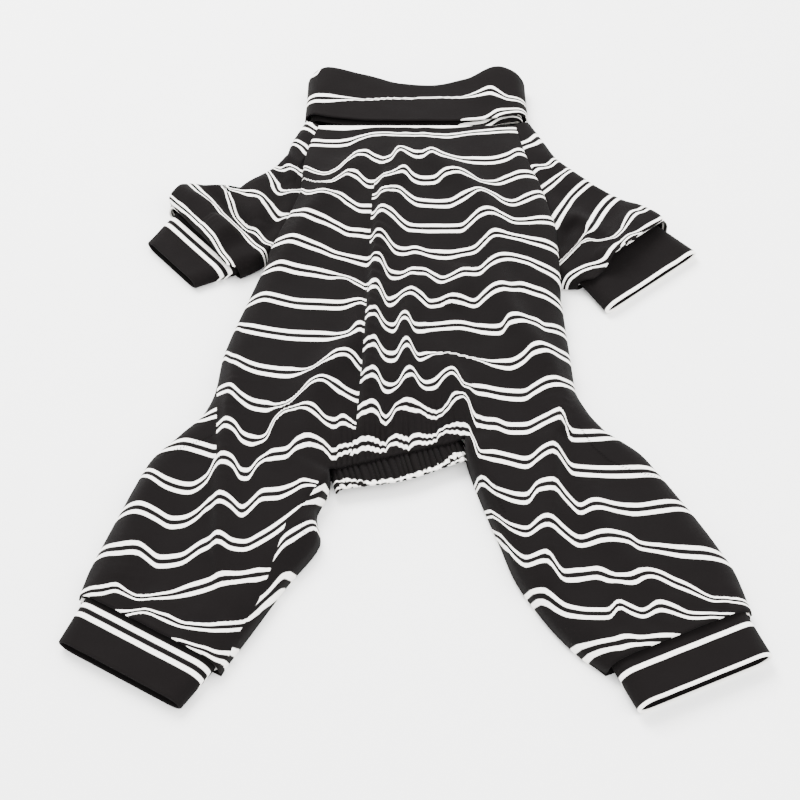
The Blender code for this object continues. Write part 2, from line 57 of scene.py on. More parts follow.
def linear(hex_colour: str) -> tuple:
    """Turn an sRGB hex colour into linear values.

    Args:
        hex_colour: Six digits after a hash sign.

    Returns:
        Red, green, blue and a full alpha, as Blender's sockets want them.
    """
    channels = [int(hex_colour[k:k + 2], 16) / 255 for k in (1, 3, 5)]
    return tuple(c / 12.92 if c <= 0.04045 else ((c + 0.055) / 1.055) ** 2.4 for c in channels) + (1.0,)


def shape(rows: Rows, at: Grid) -> Grid:
    """Read a smooth curve through the (at, value) rows of a table, with no overshoot.

    Args:
        rows: Pairs of place and value, in rising order of place.
        at: Places to read, clipped to the table's ends.

    Returns:
        The value at each place.
    """
    x, y = np.array([row[:2] for row in rows], dtype=float).T
    step = np.diff(x)
    secant = np.diff(y) / step
    slope = np.zeros(len(x))
    if len(x) > 2:
        same = secant[1:] * secant[:-1] > 0
        total = np.where(same, secant[1:] + secant[:-1], 1.0)
        slope[1:-1] = np.where(same, 2 * secant[1:] * secant[:-1] / total, 0.0)
    slope[0], slope[-1] = secant[0], secant[-1]
    at = np.clip(at, x[0], x[-1])
    k = np.clip(np.searchsorted(x, at, side="right") - 1, 0, len(x) - 2)
    t = (at - x[k]) / step[k]
    rise = 3 * t**2 - 2 * t**3
    bend = slope[k] * t * (1 - t) ** 2 - slope[k + 1] * t**2 * (1 - t)
    return y[k] + (y[k + 1] - y[k]) * rise + step[k] * bend


def smooth_step(value: Grid) -> Grid:
    """Ease from 0 to 1."""
    value = np.clip(value, 0.0, 1.0)
    return value * value * (3 - 2 * value)


def roll_over(distance: Grid, radius: float) -> Grid:
    """Rise of a rolled edge: 0 on the seam, 1 past the radius."""
    inside = 1 - np.clip(distance / np.maximum(radius, 1e-6), 0.0, 1.0)
    return np.sqrt(1 - inside**2)


def row_shares(row: Grid) -> Grid:
    """Share of its own length at each point of a row."""
    steps = np.hypot(*np.diff(row, axis=0).T)
    return np.concatenate([[0.0], np.cumsum(steps)]) / steps.sum()


def patch(first: Grid, last: Grid, left: Grid, right: Grid, rows: Optional[Grid] = None) -> Grid:
    """Fill a plan patch between its first and last rows and its two edges.

    Args:
        first: Points of the first row, from left to right.
        last: Points of the last row.
        left: Points of the left edge, one for each row.
        right: Points of the right edge.
        rows: Share of the way down at each row; even steps if left out.

    Returns:
        Plan points in an array of rows, columns and two coordinates.
    """
    t = (np.linspace(0, 1, len(left)) if rows is None else rows)[:, None, None]
    c = row_shares(first)[None, :, None]
    across = (1 - t) * first[None] + t * last[None]
    along = (1 - c) * left[:, None] + c * right[:, None]
    corners = (1 - t) * ((1 - c) * first[0] + c * first[-1]) + t * ((1 - c) * last[0] + c * last[-1])
    return across + along - corners


def edge_distances(grid: Grid) -> tuple:
    """Distance of each point of a plan grid from the two ends of its row."""
    return np.linalg.norm(grid - grid[:, :1], axis=2), np.linalg.norm(grid - grid[:, -1:], axis=2)


def noise_field(points: Grid, scale: float, seed: float) -> Grid:
    """Smooth noise from -1 to 1 at points of any array shape.

    Args:
        points: Plan points in metres.
        scale: Size of its features in metres.
        seed: Height at which the noise is cut, so that two fields differ.

    Returns:
        One value for each point.
    """
    flat = points.reshape(-1, points.shape[-1])[:, :2] / scale
    values = [noise.noise(Vector((x, y, seed))) for x, y in flat]
    return np.array(values).reshape(points.shape[:-1])


def add_object(name: str, data: bpy.types.ID) -> bpy.types.Object:
    """Make an object and link it to the scene."""
    made = bpy.data.objects.new(name, data)
    bpy.context.scene.collection.objects.link(made)
    return made


@dataclass(frozen=True)
class SuitSizes:
    """The suit's driving sizes in metres, the same as those of its solids."""

    body_length: float = 0.262
    hip_width: float = 0.204
    leg_length: float = 0.112
    hind_cuff_width: float = 0.076
    front_cuff_width: float = 0.072
    cuff_length: float = 0.025
    collar_width: float = 0.146
    collar_length: float = 0.048
    collar_centre: float = 0.054
    hem_length: float = 0.012
    strip_width: float = 0.011
    neck_rise: float = 0.009
    body_depth: float = 0.021
    leg_depth: float = 0.0165
    sleeve_depth: float = 0.0125
    cuff_depth: float = 0.0115
    front_cuff_depth: float = 0.0092
    neck_depth: float = 0.0135
    hem_depth: float = 0.0105
    seam_height: float = 0.003
    fold_height: float = 0.008
    fold_width: float = 0.009
    wall: float = 0.001
    cuff_wall: float = 0.0016
    seam_gap: float = 0.0004
    lap: float = 0.004
    edge_roll: float = 0.014
    tube_roll: float = 0.008
    collar_layer: float = 0.0032

    def plan(self, across: float, run: float) -> Grid:
        """Turn shares of the two main sizes into a plan point."""
        return np.array([across * self.hip_width, -run * self.body_length])


SIZES = SuitSizes()


class Side(NamedTuple):
    """Half widths of the trunk at one run from the neck seam."""

    run: float
    left: float
    right: float


class Fold(NamedTuple):
    """A crest line with its height and its widths to either side."""

    path: tuple
    height: float
    left: float
    right: float


class Slouch(NamedTuple):
    """A fold round a sleeve, at a share of the way to its cuff."""

    at: float
    height: float
    width: float


class Edge(NamedTuple):
    """Reach and lift of the collar's top edge at a share of its width."""

    across: float
    reach: float
    lift: float


class Limb(NamedTuple):
    """Where the seam of a cuff lies and how the edges of its limb bow."""

    name: str
    side: int
    across: float
    reach: float
    turn: float
    fullness: float
    rim: float
    mouth: float
    outer: tuple
    inner: tuple


class StripePoint(NamedTuple):
    """A place on a pair of stripes as seen in the view, and how wide the pair shows there."""

    right: float
    down: float
    width: float = 1.0


class Cut(NamedTuple):
    """The edge of a fold in the view; past it, to one side, another stretch of cloth shows."""

    side: int
    path: tuple


class Held(Enum):
    """How a sheet of cloth keeps its form."""

    LAID = "laid"
    FOLDED = "folded"
    GATHERED = "gathered"
    STRETCHED = "stretched"


SIDES = (
    Side(0.00, 0.260, 0.370), Side(0.07, 0.285, 0.385), Side(0.14, 0.300, 0.405), Side(0.22, 0.305, 0.435),
    Side(0.30, 0.330, 0.455), Side(0.37, 0.360, 0.470), Side(0.43, 0.385, 0.470), Side(0.52, 0.425, 0.470),
    Side(0.60, 0.455, 0.475), Side(0.68, 0.485, 0.480), Side(0.75, 0.505, 0.485), Side(0.83, 0.515, 0.490),
    Side(0.90, 0.545, 0.525), Side(0.95, 0.600, 0.570),
)
HEM_LEFT = (-0.190, 1.046)
HEM_RIGHT = (0.176, 0.966)
GATHER_PITCH = 0.0031
SLEEVE_CREST = 0.011
OUTER_RUN = 0.95
ARMPIT_LEFT = 0.43
ARMPIT_RIGHT = 0.52

HIND_LEGS = (
    Limb("left_hind", -1, -0.625, 0.98, -29.0, 1.14, 0.96, 0.80,
         ((0.0, 0.0), (0.23, 0.062), (0.51, 0.050), (0.86, 0.026), (1.0, 0.0)),
         ((0.0, 0.0), (0.07, 0.032), (0.18, 0.030), (0.33, 0.105), (0.54, 0.065), (0.82, 0.026),
          (1.0, 0.0))),
    Limb("right_hind", 1, 0.694, 1.02, 23.0, 1.10, 0.98, 1.0,
         ((0.0, 0.0), (0.20, 0.067), (0.49, 0.072), (0.78, 0.060), (1.0, 0.0)),
         ((0.0, 0.0), (0.06, 0.024), (0.24, 0.057), (0.42, 0.080), (0.58, 0.100), (0.75, 0.085),
          (0.90, 0.050), (1.0, 0.0))),
)
SLEEVES = (
    Limb("left_front", -1, -0.593, 0.374, -48.0, 1.00, 0.66, 0.80,
         ((0.0, 0.0), (0.15, -0.068), (0.31, -0.160), (0.52, -0.154), (0.64, -0.160), (0.70, -0.055),
          (0.77, 0.025), (0.84, 0.070), (0.90, 0.062), (1.0, 0.0)),
         ((0.0, 0.0), (0.5, 0.05), (1.0, 0.0))),
    Limb("right_front", 1, 0.671, 0.418, 39.0, 1.06, 1.04, 0.80,
         ((0.0, 0.0), (0.17, -0.050), (0.32, -0.085), (0.55, -0.083), (0.71, -0.045), (0.83, -0.010),
          (0.93, 0.005), (1.0, 0.0)),
         ((0.0, 0.0), (0.5, 0.05), (1.0, 0.0))),
)
SLOUCHES = {
    "left_front": (Slouch(0.34, 0.25, 0.09), Slouch(0.62, 0.45, 0.10), Slouch(0.88, 0.55, 0.09)),
    "right_front": (Slouch(0.55, 0.20, 0.12), Slouch(0.92, 0.55, 0.10)),
}
COLLAR_PROFILE = (
    (-0.01, 0.0), (0.14, 0.0), (0.40, 0.0), (0.70, 0.0), (0.94, 0.0), (0.99, 0.18), (1.0, 0.5),
    (0.99, 0.82), (0.94, 1.0), (0.70, 1.0), (0.42, 1.05), (0.20, 1.15), (0.05, 1.2),
)
COLLAR_UNDER = 0.16
COLLAR_EDGE = (
    Edge(0.00, 0.86, 0.0), Edge(0.10, 1.02, 0.30), Edge(0.25, 1.00, 0.10), Edge(0.42, 0.88, -0.10),
    Edge(0.55, 0.84, -0.12), Edge(0.73, 0.93, 0.0), Edge(0.87, 1.04, 0.35), Edge(1.00, 0.82, 0.0),
)

# Crest lines as (across, run), heights as shares of fold_height, widths of fold_width
FOLDS = (
    Fold(((-0.04, 0.16), (-0.06, 0.33), (-0.08, 0.60), (-0.09, 0.83), (-0.11, 1.02)), 1.05, 0.30, 0.85),
    Fold(((0.035, 0.50), (0.030, 0.60), (0.015, 0.74), (0.015, 0.92)), 0.60, 0.60, 0.50),
    Fold(((0.19, 0.50), (0.17, 0.56), (0.13, 0.64)), 0.60, 1.0, 1.0),
    Fold(((0.13, 0.76), (0.19, 0.88), (0.22, 0.98)), 0.60, 1.0, 0.4),
    Fold(((0.06, 0.10), (0.16, 0.19), (0.25, 0.30), (0.285, 0.42)), 0.70, 1.0, 1.1),
    Fold(((0.285, 0.40), (0.29, 0.56), (0.33, 0.67), (0.41, 0.79), (0.44, 0.94)), 0.80, 1.1, 0.9),
    Fold(((0.0, 0.08), (0.005, 0.18), (-0.06, 0.26)), 0.55, 0.7, 0.7),
    Fold(((-0.11, 0.10), (-0.22, 0.25), (-0.31, 0.41), (-0.34, 0.52)), 0.60, 1.0, 1.0),
    Fold(((-0.11, 0.58), (-0.12, 0.70), (-0.22, 0.83), (-0.25, 0.92), (-0.24, 1.02)), 0.75, 1.0, 1.0),
    Fold(((-0.46, 0.80), (-0.47, 1.03), (-0.465, 1.22), (-0.445, 1.34)), 0.80, 0.4, 0.9),
    Fold(((-0.65, 1.02), (-0.67, 1.15), (-0.70, 1.36)), 0.60, 1.2, 1.2),
    Fold(((0.455, 0.88), (0.41, 1.00), (0.40, 1.10), (0.375, 1.30)), 0.80, 1.0, 0.5),
    Fold(((0.50, 1.08), (0.53, 1.21), (0.62, 1.32)), 0.50, 1.0, 1.0),
)

# Crest lines on the sleeves as places in the view; a height below 0 is a crease
SLEEVE_FOLDS = {
    "left_front": (
        Fold(((299, 124), (291, 148), (289, 168), (292, 186)), 0.45, 0.9, 0.35),
        Fold(((279, 162), (283, 178), (288, 194)), -0.55, 0.6, 0.5),
        Fold(((262, 178), (262, 196), (263, 214), (262, 226)), 0.50, 0.8, 0.8),
        Fold(((277, 190), (279, 218), (273, 246)), -0.50, 0.7, 0.7),
        Fold(((177, 188), (198, 205), (222, 218)), 0.65, 0.9, 0.35),
        Fold(((206, 188), (229, 211), (250, 234), (266, 256)), -0.60, 0.45, 0.45),
        Fold(((212, 222), (234, 238), (254, 262)), 0.75, 0.9, 0.35),
    ),
    "right_front": (
        Fold(((558, 226), (575, 223), (590, 231), (606, 240)), 0.45, 0.35, 0.8),
        Fold(((560, 252), (567, 234), (577, 225)), -0.50, 0.5, 0.5),
        Fold(((634, 208), (622, 232), (606, 254)), 0.35, 0.9, 0.9),
        Fold(((650, 232), (626, 248), (596, 264), (578, 276)), 0.60, 0.5, 0.4),
        Fold(((548, 175), (562, 196), (578, 214)), -0.30, 0.8, 0.8),
    ),
}

# The sharp side of the central tuck, where the cloth to its left lies under that to its right
TUCK = ((0.00, -0.055), (0.12, -0.062), (0.30, -0.085), (0.50, -0.088), (0.72, -0.098), (0.94, -0.118),
        (1.02, -0.135), (1.10, -0.14))

# Pairs of stripes left of the tuck, from the neck down, as they show in the 800 pixel view
LEFT_STRIPES = (
    ((296, 112, 2.0), (318, 121.5, 2.0), (341, 124, 2.0), (371, 125, 2.0), (384, 124.8, 2.0)),
    ((296, 141), (310, 144.5), (329, 144), (347, 143), (361, 138), (372, 135), (384, 134)),
    ((296, 166), (304, 169), (315, 172), (327, 174), (338, 169), (349, 159), (358, 153), (365, 153),
     (374, 158), (380, 160), (386, 160)),
    ((290, 181, 0.0), (300, 181, 0.0), (315, 182, 0.05), (329, 182, 0.45), (340, 176.5), (348, 172),
     (356, 174.5), (364, 182), (370, 185), (376, 184), (380, 179)),
    ((290, 190), (300, 191.5), (306, 193), (315, 192), (326, 191), (338, 195), (349, 202.5), (361, 209),
     (370, 209), (378, 205)),
    ((280, 218), (290, 215), (299, 213), (310, 214.5), (324, 220), (338, 227), (349, 232.5),
     (361, 233.5), (376, 229)),
    ((264, 246), (277, 243), (288, 239), (302, 241.5), (319, 248), (335, 255), (351, 259), (373, 256.5)),
    ((258, 274), (267, 270.5), (278, 266), (294, 269), (311, 272), (329, 275.5), (345, 277.5, 0.5),
     (357, 283, 0.8), (371, 284.5)),
    ((240, 308), (252, 302), (264, 297), (280, 300), (301, 304), (323, 305), (345, 305), (361, 301),
     (371, 304)),
    ((222, 338), (234, 332.5), (245, 328.5), (268, 332.5), (296, 336), (329, 337), (347, 334.5),
     (360, 325.5), (369, 328.5)),
    ((212, 364), (223, 361.5), (233, 359), (246, 365), (267, 371), (289, 373), (311, 369, 0.6),
     (325, 360, 0.8), (339, 352), (347, 352), (366, 365)),
    ((200, 400), (219, 392), (229, 388), (240, 397), (254, 405), (270, 407), (286, 404), (300, 393, 0.6),
     (312, 381), (323, 378), (335, 385), (348, 393.5), (365, 395)),
    ((200, 440), (211, 433), (218, 428), (226, 422), (234, 426), (241, 436.5), (253, 441), (266, 438),
     (274, 420), (287, 409.5), (301, 406), (314, 409.5), (326, 421), (335, 424), (342, 419), (361, 426)),
    ((125, 468), (143, 475), (166, 483), (189, 489), (208, 478), (215, 463), (225, 458), (234, 463),
     (239, 474), (249, 475), (257, 463), (272, 455), (287, 453), (296, 444), (311, 440), (323, 445),
     (333, 455.5), (340, 450), (352, 448)),
    ((100, 520), (121, 515), (141, 508), (156, 515), (171, 523), (184, 522), (197, 515), (209, 504),
     (221, 497), (231, 503), (241, 512), (252, 504), (262, 495), (278, 494), (294, 488), (303, 483),
     (315, 484), (345, 500)),
    ((80, 560), (102, 553), (120, 549), (137, 548), (148, 555), (158, 562), (180, 560), (205, 545),
     (219, 537), (230, 544), (244, 546), (258, 540), (284, 523), (310, 505), (330, 496)),
    ((60, 604), (78, 599), (97, 591), (115, 588), (126, 593), (137, 598), (165, 596), (191, 590),
     (219, 580), (245, 577), (271, 573), (300, 545), (325, 520)),
    ((90, 625), (125, 614), (145, 611), (163, 617), (187, 626), (210, 628), (228, 627), (245, 625),
     (275, 600), (300, 575)),
    ((140, 660), (175, 651), (202, 650), (216, 656), (230, 660), (262, 640)),
)

# Pairs of stripes right of the tuck, from the neck down
RIGHT_STRIPES = (
    ((380, 124.8, 2.0), (402, 124.8, 2.0), (436, 124.6, 2.0), (463, 124, 2.0), (483, 120, 1.5),
     (510, 116), (540, 118)),
    ((380, 134), (397, 134.8), (430, 135.5), (443, 136.5), (475, 133), (517, 131.5), (540, 134)),
    ((380, 160), (386, 160), (392, 157.5), (396, 151), (400, 148), (407, 151), (416, 154.5), (423, 154),
     (431, 150), (443, 155), (457, 159), (475, 161), (492, 161), (508, 157), (519, 152), (527, 155.5),
     (545, 163)),
    ((376, 183), (380, 178.5), (384, 175.5), (394, 172.5), (405, 169), (412, 177), (423, 181),
     (434, 180.5), (446, 171.5), (457, 170), (469, 175), (481, 181.5), (495, 183), (508, 179),
     (521, 174.5), (534, 176), (550, 180)),
    ((376, 196), (380, 193), (384, 189), (399, 189.5), (408, 197), (417, 202.5), (430, 204), (448, 204),
     (461, 198), (473, 191.5), (482, 189.5), (493, 194.5), (504, 201.5), (511, 203.5), (526, 198.5),
     (544, 197), (560, 200)),
    ((372, 216), (377, 212), (383, 208), (391, 212.5), (400, 221.5), (410, 228), (430, 229), (448, 229),
     (461, 228.5), (471, 221), (480, 213), (492, 211), (503, 216), (515, 221.5), (532, 221),
     (551, 221.5), (565, 224)),
    ((369, 240), (374, 237), (381, 232.5), (387, 240.5), (396, 250.5), (405, 252), (415, 250),
     (430, 254), (448, 255.5), (463, 253), (474, 250.5), (485, 240.5), (494, 233.5), (505, 235),
     (519, 238), (531, 241), (542, 243.5), (555, 249.5), (568, 256)),
    ((368, 261), (372, 259), (380, 256.5), (384, 266), (389, 274.5), (402, 275.5), (412, 271),
     (424, 271.5), (434, 277), (443, 280.5), (454, 276), (464, 271.5), (479, 271.5), (489, 263.5),
     (499, 258), (513, 257.5), (527, 261), (540, 267), (556, 275.5), (570, 284)),
    ((366, 288), (371, 286), (376, 283), (382, 292.5), (386, 302), (395, 300.5), (404, 293), (413, 291),
     (422, 297.5), (430, 304.5), (439, 303), (451, 298), (462, 300), (474, 304), (485, 295.5),
     (494, 288.5), (508, 287), (521, 287), (539, 292.5), (558, 304), (573, 313)),
    ((365, 316), (370, 312.5), (376, 310), (380, 319), (387, 327), (395, 328.5), (402, 315.5),
     (408, 315.5), (412, 326.5), (425, 328), (459, 325.5), (479, 329), (502, 329.5), (509, 319),
     (522, 318), (536, 322.5), (545, 328), (558, 330.5), (575, 338)),
    ((364, 346), (368, 343.5), (375, 340), (380, 350.5), (387, 357), (397, 356.5), (402, 345.5),
     (408, 341), (412, 348.5), (418, 358), (424, 356.5, 0.8), (434, 354, 0.25), (453, 354, 0.05),
     (466, 357, 0.05), (478, 360, 0.2), (494, 364, 0.7), (509, 365), (524, 358), (533, 349), (544, 347),
     (558, 353.5), (576, 364)),
    ((361, 378), (366, 375), (372, 370.5), (378, 374.5), (381, 385), (388, 388.5), (399, 384),
     (405, 373), (413, 371), (418, 380), (426, 386), (435, 384), (445, 373.5), (452, 370), (458, 374.5),
     (464, 386), (482, 390.5), (503, 394.5), (524, 395.5), (535, 389), (549, 382), (560, 382),
     (580, 391)),
    ((359, 412), (364, 409), (371, 405), (378, 408.5), (382, 420), (388, 420), (395, 407.5), (404, 404),
     (419, 407.5), (428, 413.5), (436, 416), (446, 408.5), (455, 396.5), (463, 394.5), (468, 397.5),
     (475, 421.5), (495, 424), (509, 429), (525, 429), (539, 423), (551, 417), (563, 413), (567, 430),
     (571, 436), (590, 436), (608, 436), (630, 440)),
    ((348, 452), (353, 449), (360, 445), (370, 444), (384, 448), (394, 440), (403, 443), (410, 445),
     (415, 438.5), (424, 440), (434, 438.5), (443, 431), (453, 428.5), (463, 429), (473, 433),
     (476, 454), (496, 456.5), (511, 460), (528, 463), (541, 453), (553, 447), (563, 458), (572, 470),
     (597, 472), (629, 472), (660, 477)),
    ((380, 505), (440, 498), (466, 488), (480, 481), (496, 491), (515, 498), (528, 499), (538, 486),
     (547, 484), (555, 484), (568, 499), (580, 510), (593, 504), (612, 507), (633, 510), (660, 507),
     (692, 514), (710, 520)),
    ((470, 497), (492, 514), (513, 528), (528, 532), (537, 525), (545, 520), (562, 530), (580, 542),
     (601, 536), (615, 536), (629, 539), (639, 546), (660, 549), (681, 552), (723, 559), (740, 566)),
    ((480, 512), (500, 537), (514, 553), (528, 562), (547, 556), (555, 565), (563, 576), (580, 575),
     (597, 573), (613, 578), (629, 579), (650, 573), (680, 585), (720, 600), (750, 608)),
    ((500, 580), (521, 596), (545, 596), (556, 604), (568, 611), (590, 614), (610, 614), (618, 604),
     (631, 610), (643, 614), (660, 606), (690, 616)),
    ((540, 638), (565, 650), (587, 651), (608, 645), (629, 641), (660, 640)),
)


# Edges of folds in the view where the stripes break off, and the pairs that show past them
CUTS = (
    Cut(-1, ((218, 372), (217.5, 400), (217, 425), (217, 452), (216.5, 458))),
    Cut(1, ((322, 476), (302.5, 505), (286, 523), (270.5, 569), (258, 601), (240, 630), (226, 662),
            (215, 676))),
)
HIDDEN_STRIPES = (
    ((190, 396), (217, 386), (300, 440), (330, 430)),
    ((190, 423), (204, 418.5), (217, 413), (300, 472), (330, 464)),
    ((170, 447), (182, 444), (197, 447), (217, 451.5), (297, 501), (312, 497), (326, 496)),
    ((150, 480), (217, 490), (262, 570), (275, 553), (284, 541), (295, 534), (316, 527)),
    ((150, 520), (217, 560), (245, 616), (255, 608), (268, 596), (285, 583), (302, 577)),
    ((150, 600), (200, 650), (225, 656), (250, 646), (280, 634), (300, 625)),
)


@dataclass(frozen=True)
class StudioView:
    """The camera: it looks along +Y and down at the laid suit, from above the floor.

    The focal length is in picture widths times 800, so that places in the view are in pixels of an
    800 by 800 picture.
    """

    focal: float = 1500.0
    middle: float = 400.0
    pitch: float = 52.0
    height: float = 0.677
    back: float = 0.7459
    sensor_mm: float = 36.0

    def axes(self) -> tuple:
        """Unit vectors to the right, up and forward in the view."""
        down = radians(self.pitch)
        forward = np.array([0.0, cos(down), -sin(down)])
        up = np.array([0.0, sin(down), cos(down)])
        return np.array([1.0, 0.0, 0.0]), up, forward

    def eye(self) -> Grid:
        """The camera's place in the drawing frame."""
        return np.array([0.0, -self.back, self.height])

    def ray(self, right: float, down: float) -> Grid:
        """Direction of the line of sight through a place in the view."""
        side, up, forward = self.axes()
        return forward + (right - self.middle) / self.focal * side + (self.middle - down) / self.focal * up

    def land(self, right: float, down: float, cloth: Optional[BVHTree] = None, rest: float = 0.006) -> Grid:
        """Find where a place in the view lies on the cloth.

        Args:
            right: Pixels from the view's left edge.
            down: Pixels from its top edge.
            cloth: Search tree of the cloth in the drawing frame, if there is one.
            rest: Height used beyond the cloth's edges.

        Returns:
            The plan point.
        """
        direction = self.ray(right, down)
        hit = cloth and cloth.ray_cast(Vector(self.eye()), Vector(direction).normalized())[0]
        if hit:
            return np.array([hit.x, hit.y])
        eye = self.eye()
        return (eye + direction * (eye[2] - rest) / -direction[2])[:2]

    def make_camera(self, seat: Vector) -> bpy.types.Object:
        """Set up the camera.

        Args:
            seat: Shift from the drawing frame to the seated suit.

        Returns:
            The camera object.
        """
        lens = bpy.data.cameras.new("studio_camera")
        lens.sensor_width = self.sensor_mm
        lens.lens = self.sensor_mm * self.focal / (2 * self.middle)
        lens.clip_start = 0.05
        camera = add_object("studio_camera", lens)
        camera.location = Vector(self.eye()) + seat
        camera.rotation_euler = (radians(90 - self.pitch), 0.0, 0.0)
        bpy.context.scene.camera = camera
        return camera


VIEW = StudioView()


class NodeTree:
    """A material's nodes, added with their settings and links in one call."""

    def __init__(self, name: str) -> None:
        """Start an empty material with a Principled shader."""
        self.material = bpy.data.materials.new(name)
        self.material.use_nodes = True
        self.tree = self.material.node_tree
        self.shader = self.tree.nodes["Principled BSDF"]

    def add(self, kind: str, links: Optional[dict] = None, **settings: object) -> bpy.types.Node:
        """Add one node.

        Args:
            kind: Its type name.
            links: Input name or number to an output socket or a constant.
            settings: Values of its own properties.

        Returns:
            The node.
        """
        node = self.tree.nodes.new(kind)
        for key, value in settings.items():
            setattr(node, key, value)
        for key, value in (links or {}).items():
            self.join(value, node.inputs[key])
        return node

    def join(self, value: object, socket: bpy.types.NodeSocket) -> None:
        """Link an output to an input, or set the input's constant."""
        if isinstance(value, bpy.types.NodeSocket):
            self.tree.links.new(value, socket)
        else:
            socket.default_value = value

    def sum(self, operation: str, first: object, second: object = 0.0, third: object = 0.0) -> object:
        """Result of one Math node."""
        return self.add("ShaderNodeMath", {0: first, 1: second, 2: third}, operation=operation).outputs[0]

    def step(self, value: object, edge: float, soft: float) -> object:
        """Ease from 0 to 1 as a value passes an edge."""
        return self.add("ShaderNodeMapRange", {0: value, 1: edge - soft, 2: edge + soft},
                        interpolation_type="SMOOTHSTEP").outputs[0]

    def clouds(self, place: object, scale: float, detail: float) -> object:
        """Soft noise from 0 to 1."""
        return self.add("ShaderNodeTexNoise", {"Vector": place, "Scale": scale, "Detail": detail}).outputs[0]

    def waves(self, place: object, scale: float, direction: str, more: Optional[dict] = None) -> object:
        """Height of ridges that follow each other in one direction."""
        links = {"Vector": place, "Scale": scale, "Distortion": 1.0, **(more or {})}
        return self.add("ShaderNodeTexWave", links, wave_type="BANDS", bands_direction=direction).outputs[1]

    def blend(self, share: object, first: object, second: object) -> object:
        """Mix of two colours."""
        return self.add("ShaderNodeMix", {0: share, 6: first, 7: second}, data_type="RGBA").outputs[2]

    def surface(self, colour: object, roughness: float, specular: float) -> None:
        """Set the shader's colour, roughness and gloss."""
        self.join(colour, self.shader.inputs["Base Color"])
        self.shader.inputs["Roughness"].default_value = roughness
        self.shader.inputs["Specular IOR Level"].default_value = specular


@dataclass(frozen=True)
class StripedJersey:
    """Single jersey knitted from dyed yarn: black bands and pairs of white lines, seen on both sides.

    The face is a fine matt knit: its wales catch a soft grey light on ridges, and the white lines are of
    undyed yarn, a little warm.
    """

    name: str = "yarn_dyed_cotton_jersey"
    black: str = "#0B0909"
    black_worn: str = "#0E0C0C"
    white: str = "#F7F4EF"
    pitch: float = 0.024
    line_start: float = 0.00142
    line_end: float = 0.0040
    soft_edge: float = 0.00022
    wander: float = 0.010
    wale: float = 0.0006
    roughness: float = 0.9
    sheen: float = 0.01
    specular: float = 0.04

    def build(self) -> bpy.types.Material:
        """Make the material; it reads the stripe place and the cloth place from UV maps.

        The map "stripes" holds the count of pairs and how far a point lies past the edge of a fold, and
        "stripes_past" the count that shows past that edge.
        """
        nodes = NodeTree(self.name)
        stripes = nodes.add("ShaderNodeUVMap", uv_map="stripes").outputs[0]
        hidden = nodes.add("ShaderNodeUVMap", uv_map="stripes_past").outputs[0]
        cloth = nodes.add("ShaderNodeUVMap", uv_map="cloth").outputs[0]
        here = nodes.add("ShaderNodeSeparateXYZ", {0: stripes}).outputs
        past = nodes.add("ShaderNodeSeparateXYZ", {0: hidden}).outputs[0]
        change = nodes.sum("SUBTRACT", past, here[0])
        place = nodes.sum("MULTIPLY_ADD", change, nodes.sum("GREATER_THAN", here[1], 0.0), here[0])
        wander = nodes.sum("MULTIPLY_ADD", nodes.clouds(cloth, 900.0, 2.0), self.wander, -self.wander / 2)
        phase = nodes.sum("ADD", place, wander)
        turn = nodes.sum("FRACT", nodes.sum("ADD", phase, 0.5))
        away = nodes.sum("ABSOLUTE", nodes.sum("SUBTRACT", turn, 0.5))
        metres = nodes.sum("MULTIPLY", away, self.pitch)
        start = nodes.step(metres, self.line_start, self.soft_edge)
        inside = nodes.sum("SUBTRACT", start, nodes.step(metres, self.line_end, self.soft_edge))
        ground = nodes.blend(nodes.clouds(cloth, 35.0, 3.0), linear(self.black), linear(self.black_worn))
        nodes.surface(nodes.blend(inside, ground, linear(self.white)), self.roughness, self.specular)
        self.knit(nodes, cloth)
        return nodes.material

    def knit(self, nodes: NodeTree, cloth: object) -> None:
        """Add the knit's wales and courses and its sheen.

        Args:
            nodes: The material's nodes.
            cloth: Place along the cloth in metres.
        """
        fuzzy = {"Distortion": 1.2, "Detail": 1.0, "Detail Scale": 1.5}
        wales = nodes.waves(cloth, 1 / self.wale / 2, "X", fuzzy)
        courses = nodes.waves(cloth, 1 / self.wale / 1.5, "Y")
        loops = nodes.sum("MULTIPLY_ADD", courses, 0.5, wales)
        bump = nodes.add("ShaderNodeBump", {"Height": loops, "Strength": 0.35, "Distance": 0.0002})
        nodes.join(bump.outputs[0], nodes.shader.inputs["Normal"])
        nodes.shader.inputs["Sheen Weight"].default_value = self.sheen
        nodes.shader.inputs["Sheen Roughness"].default_value = 0.5


@dataclass(frozen=True)
class SewingThread:
    """Spun polyester thread: a fine twist, dull and as black as the cloth."""

    name: str = "black_spun_polyester_thread"
    colour: str = "#050404"
    fuzz: str = "#0C0A0A"
    twist: float = 0.0012
    roughness: float = 0.8
    specular: float = 0.04

    def build(self) -> bpy.types.Material:
        """Make the material."""
        nodes = NodeTree(self.name)
        place = nodes.add("ShaderNodeTexCoord").outputs["Object"]
        twist = nodes.waves(place, 1 / self.twist, "DIAGONAL")
        colour = nodes.blend(twist, linear(self.colour), linear(self.fuzz))
        nodes.surface(colour, self.roughness, self.specular)
        return nodes.material


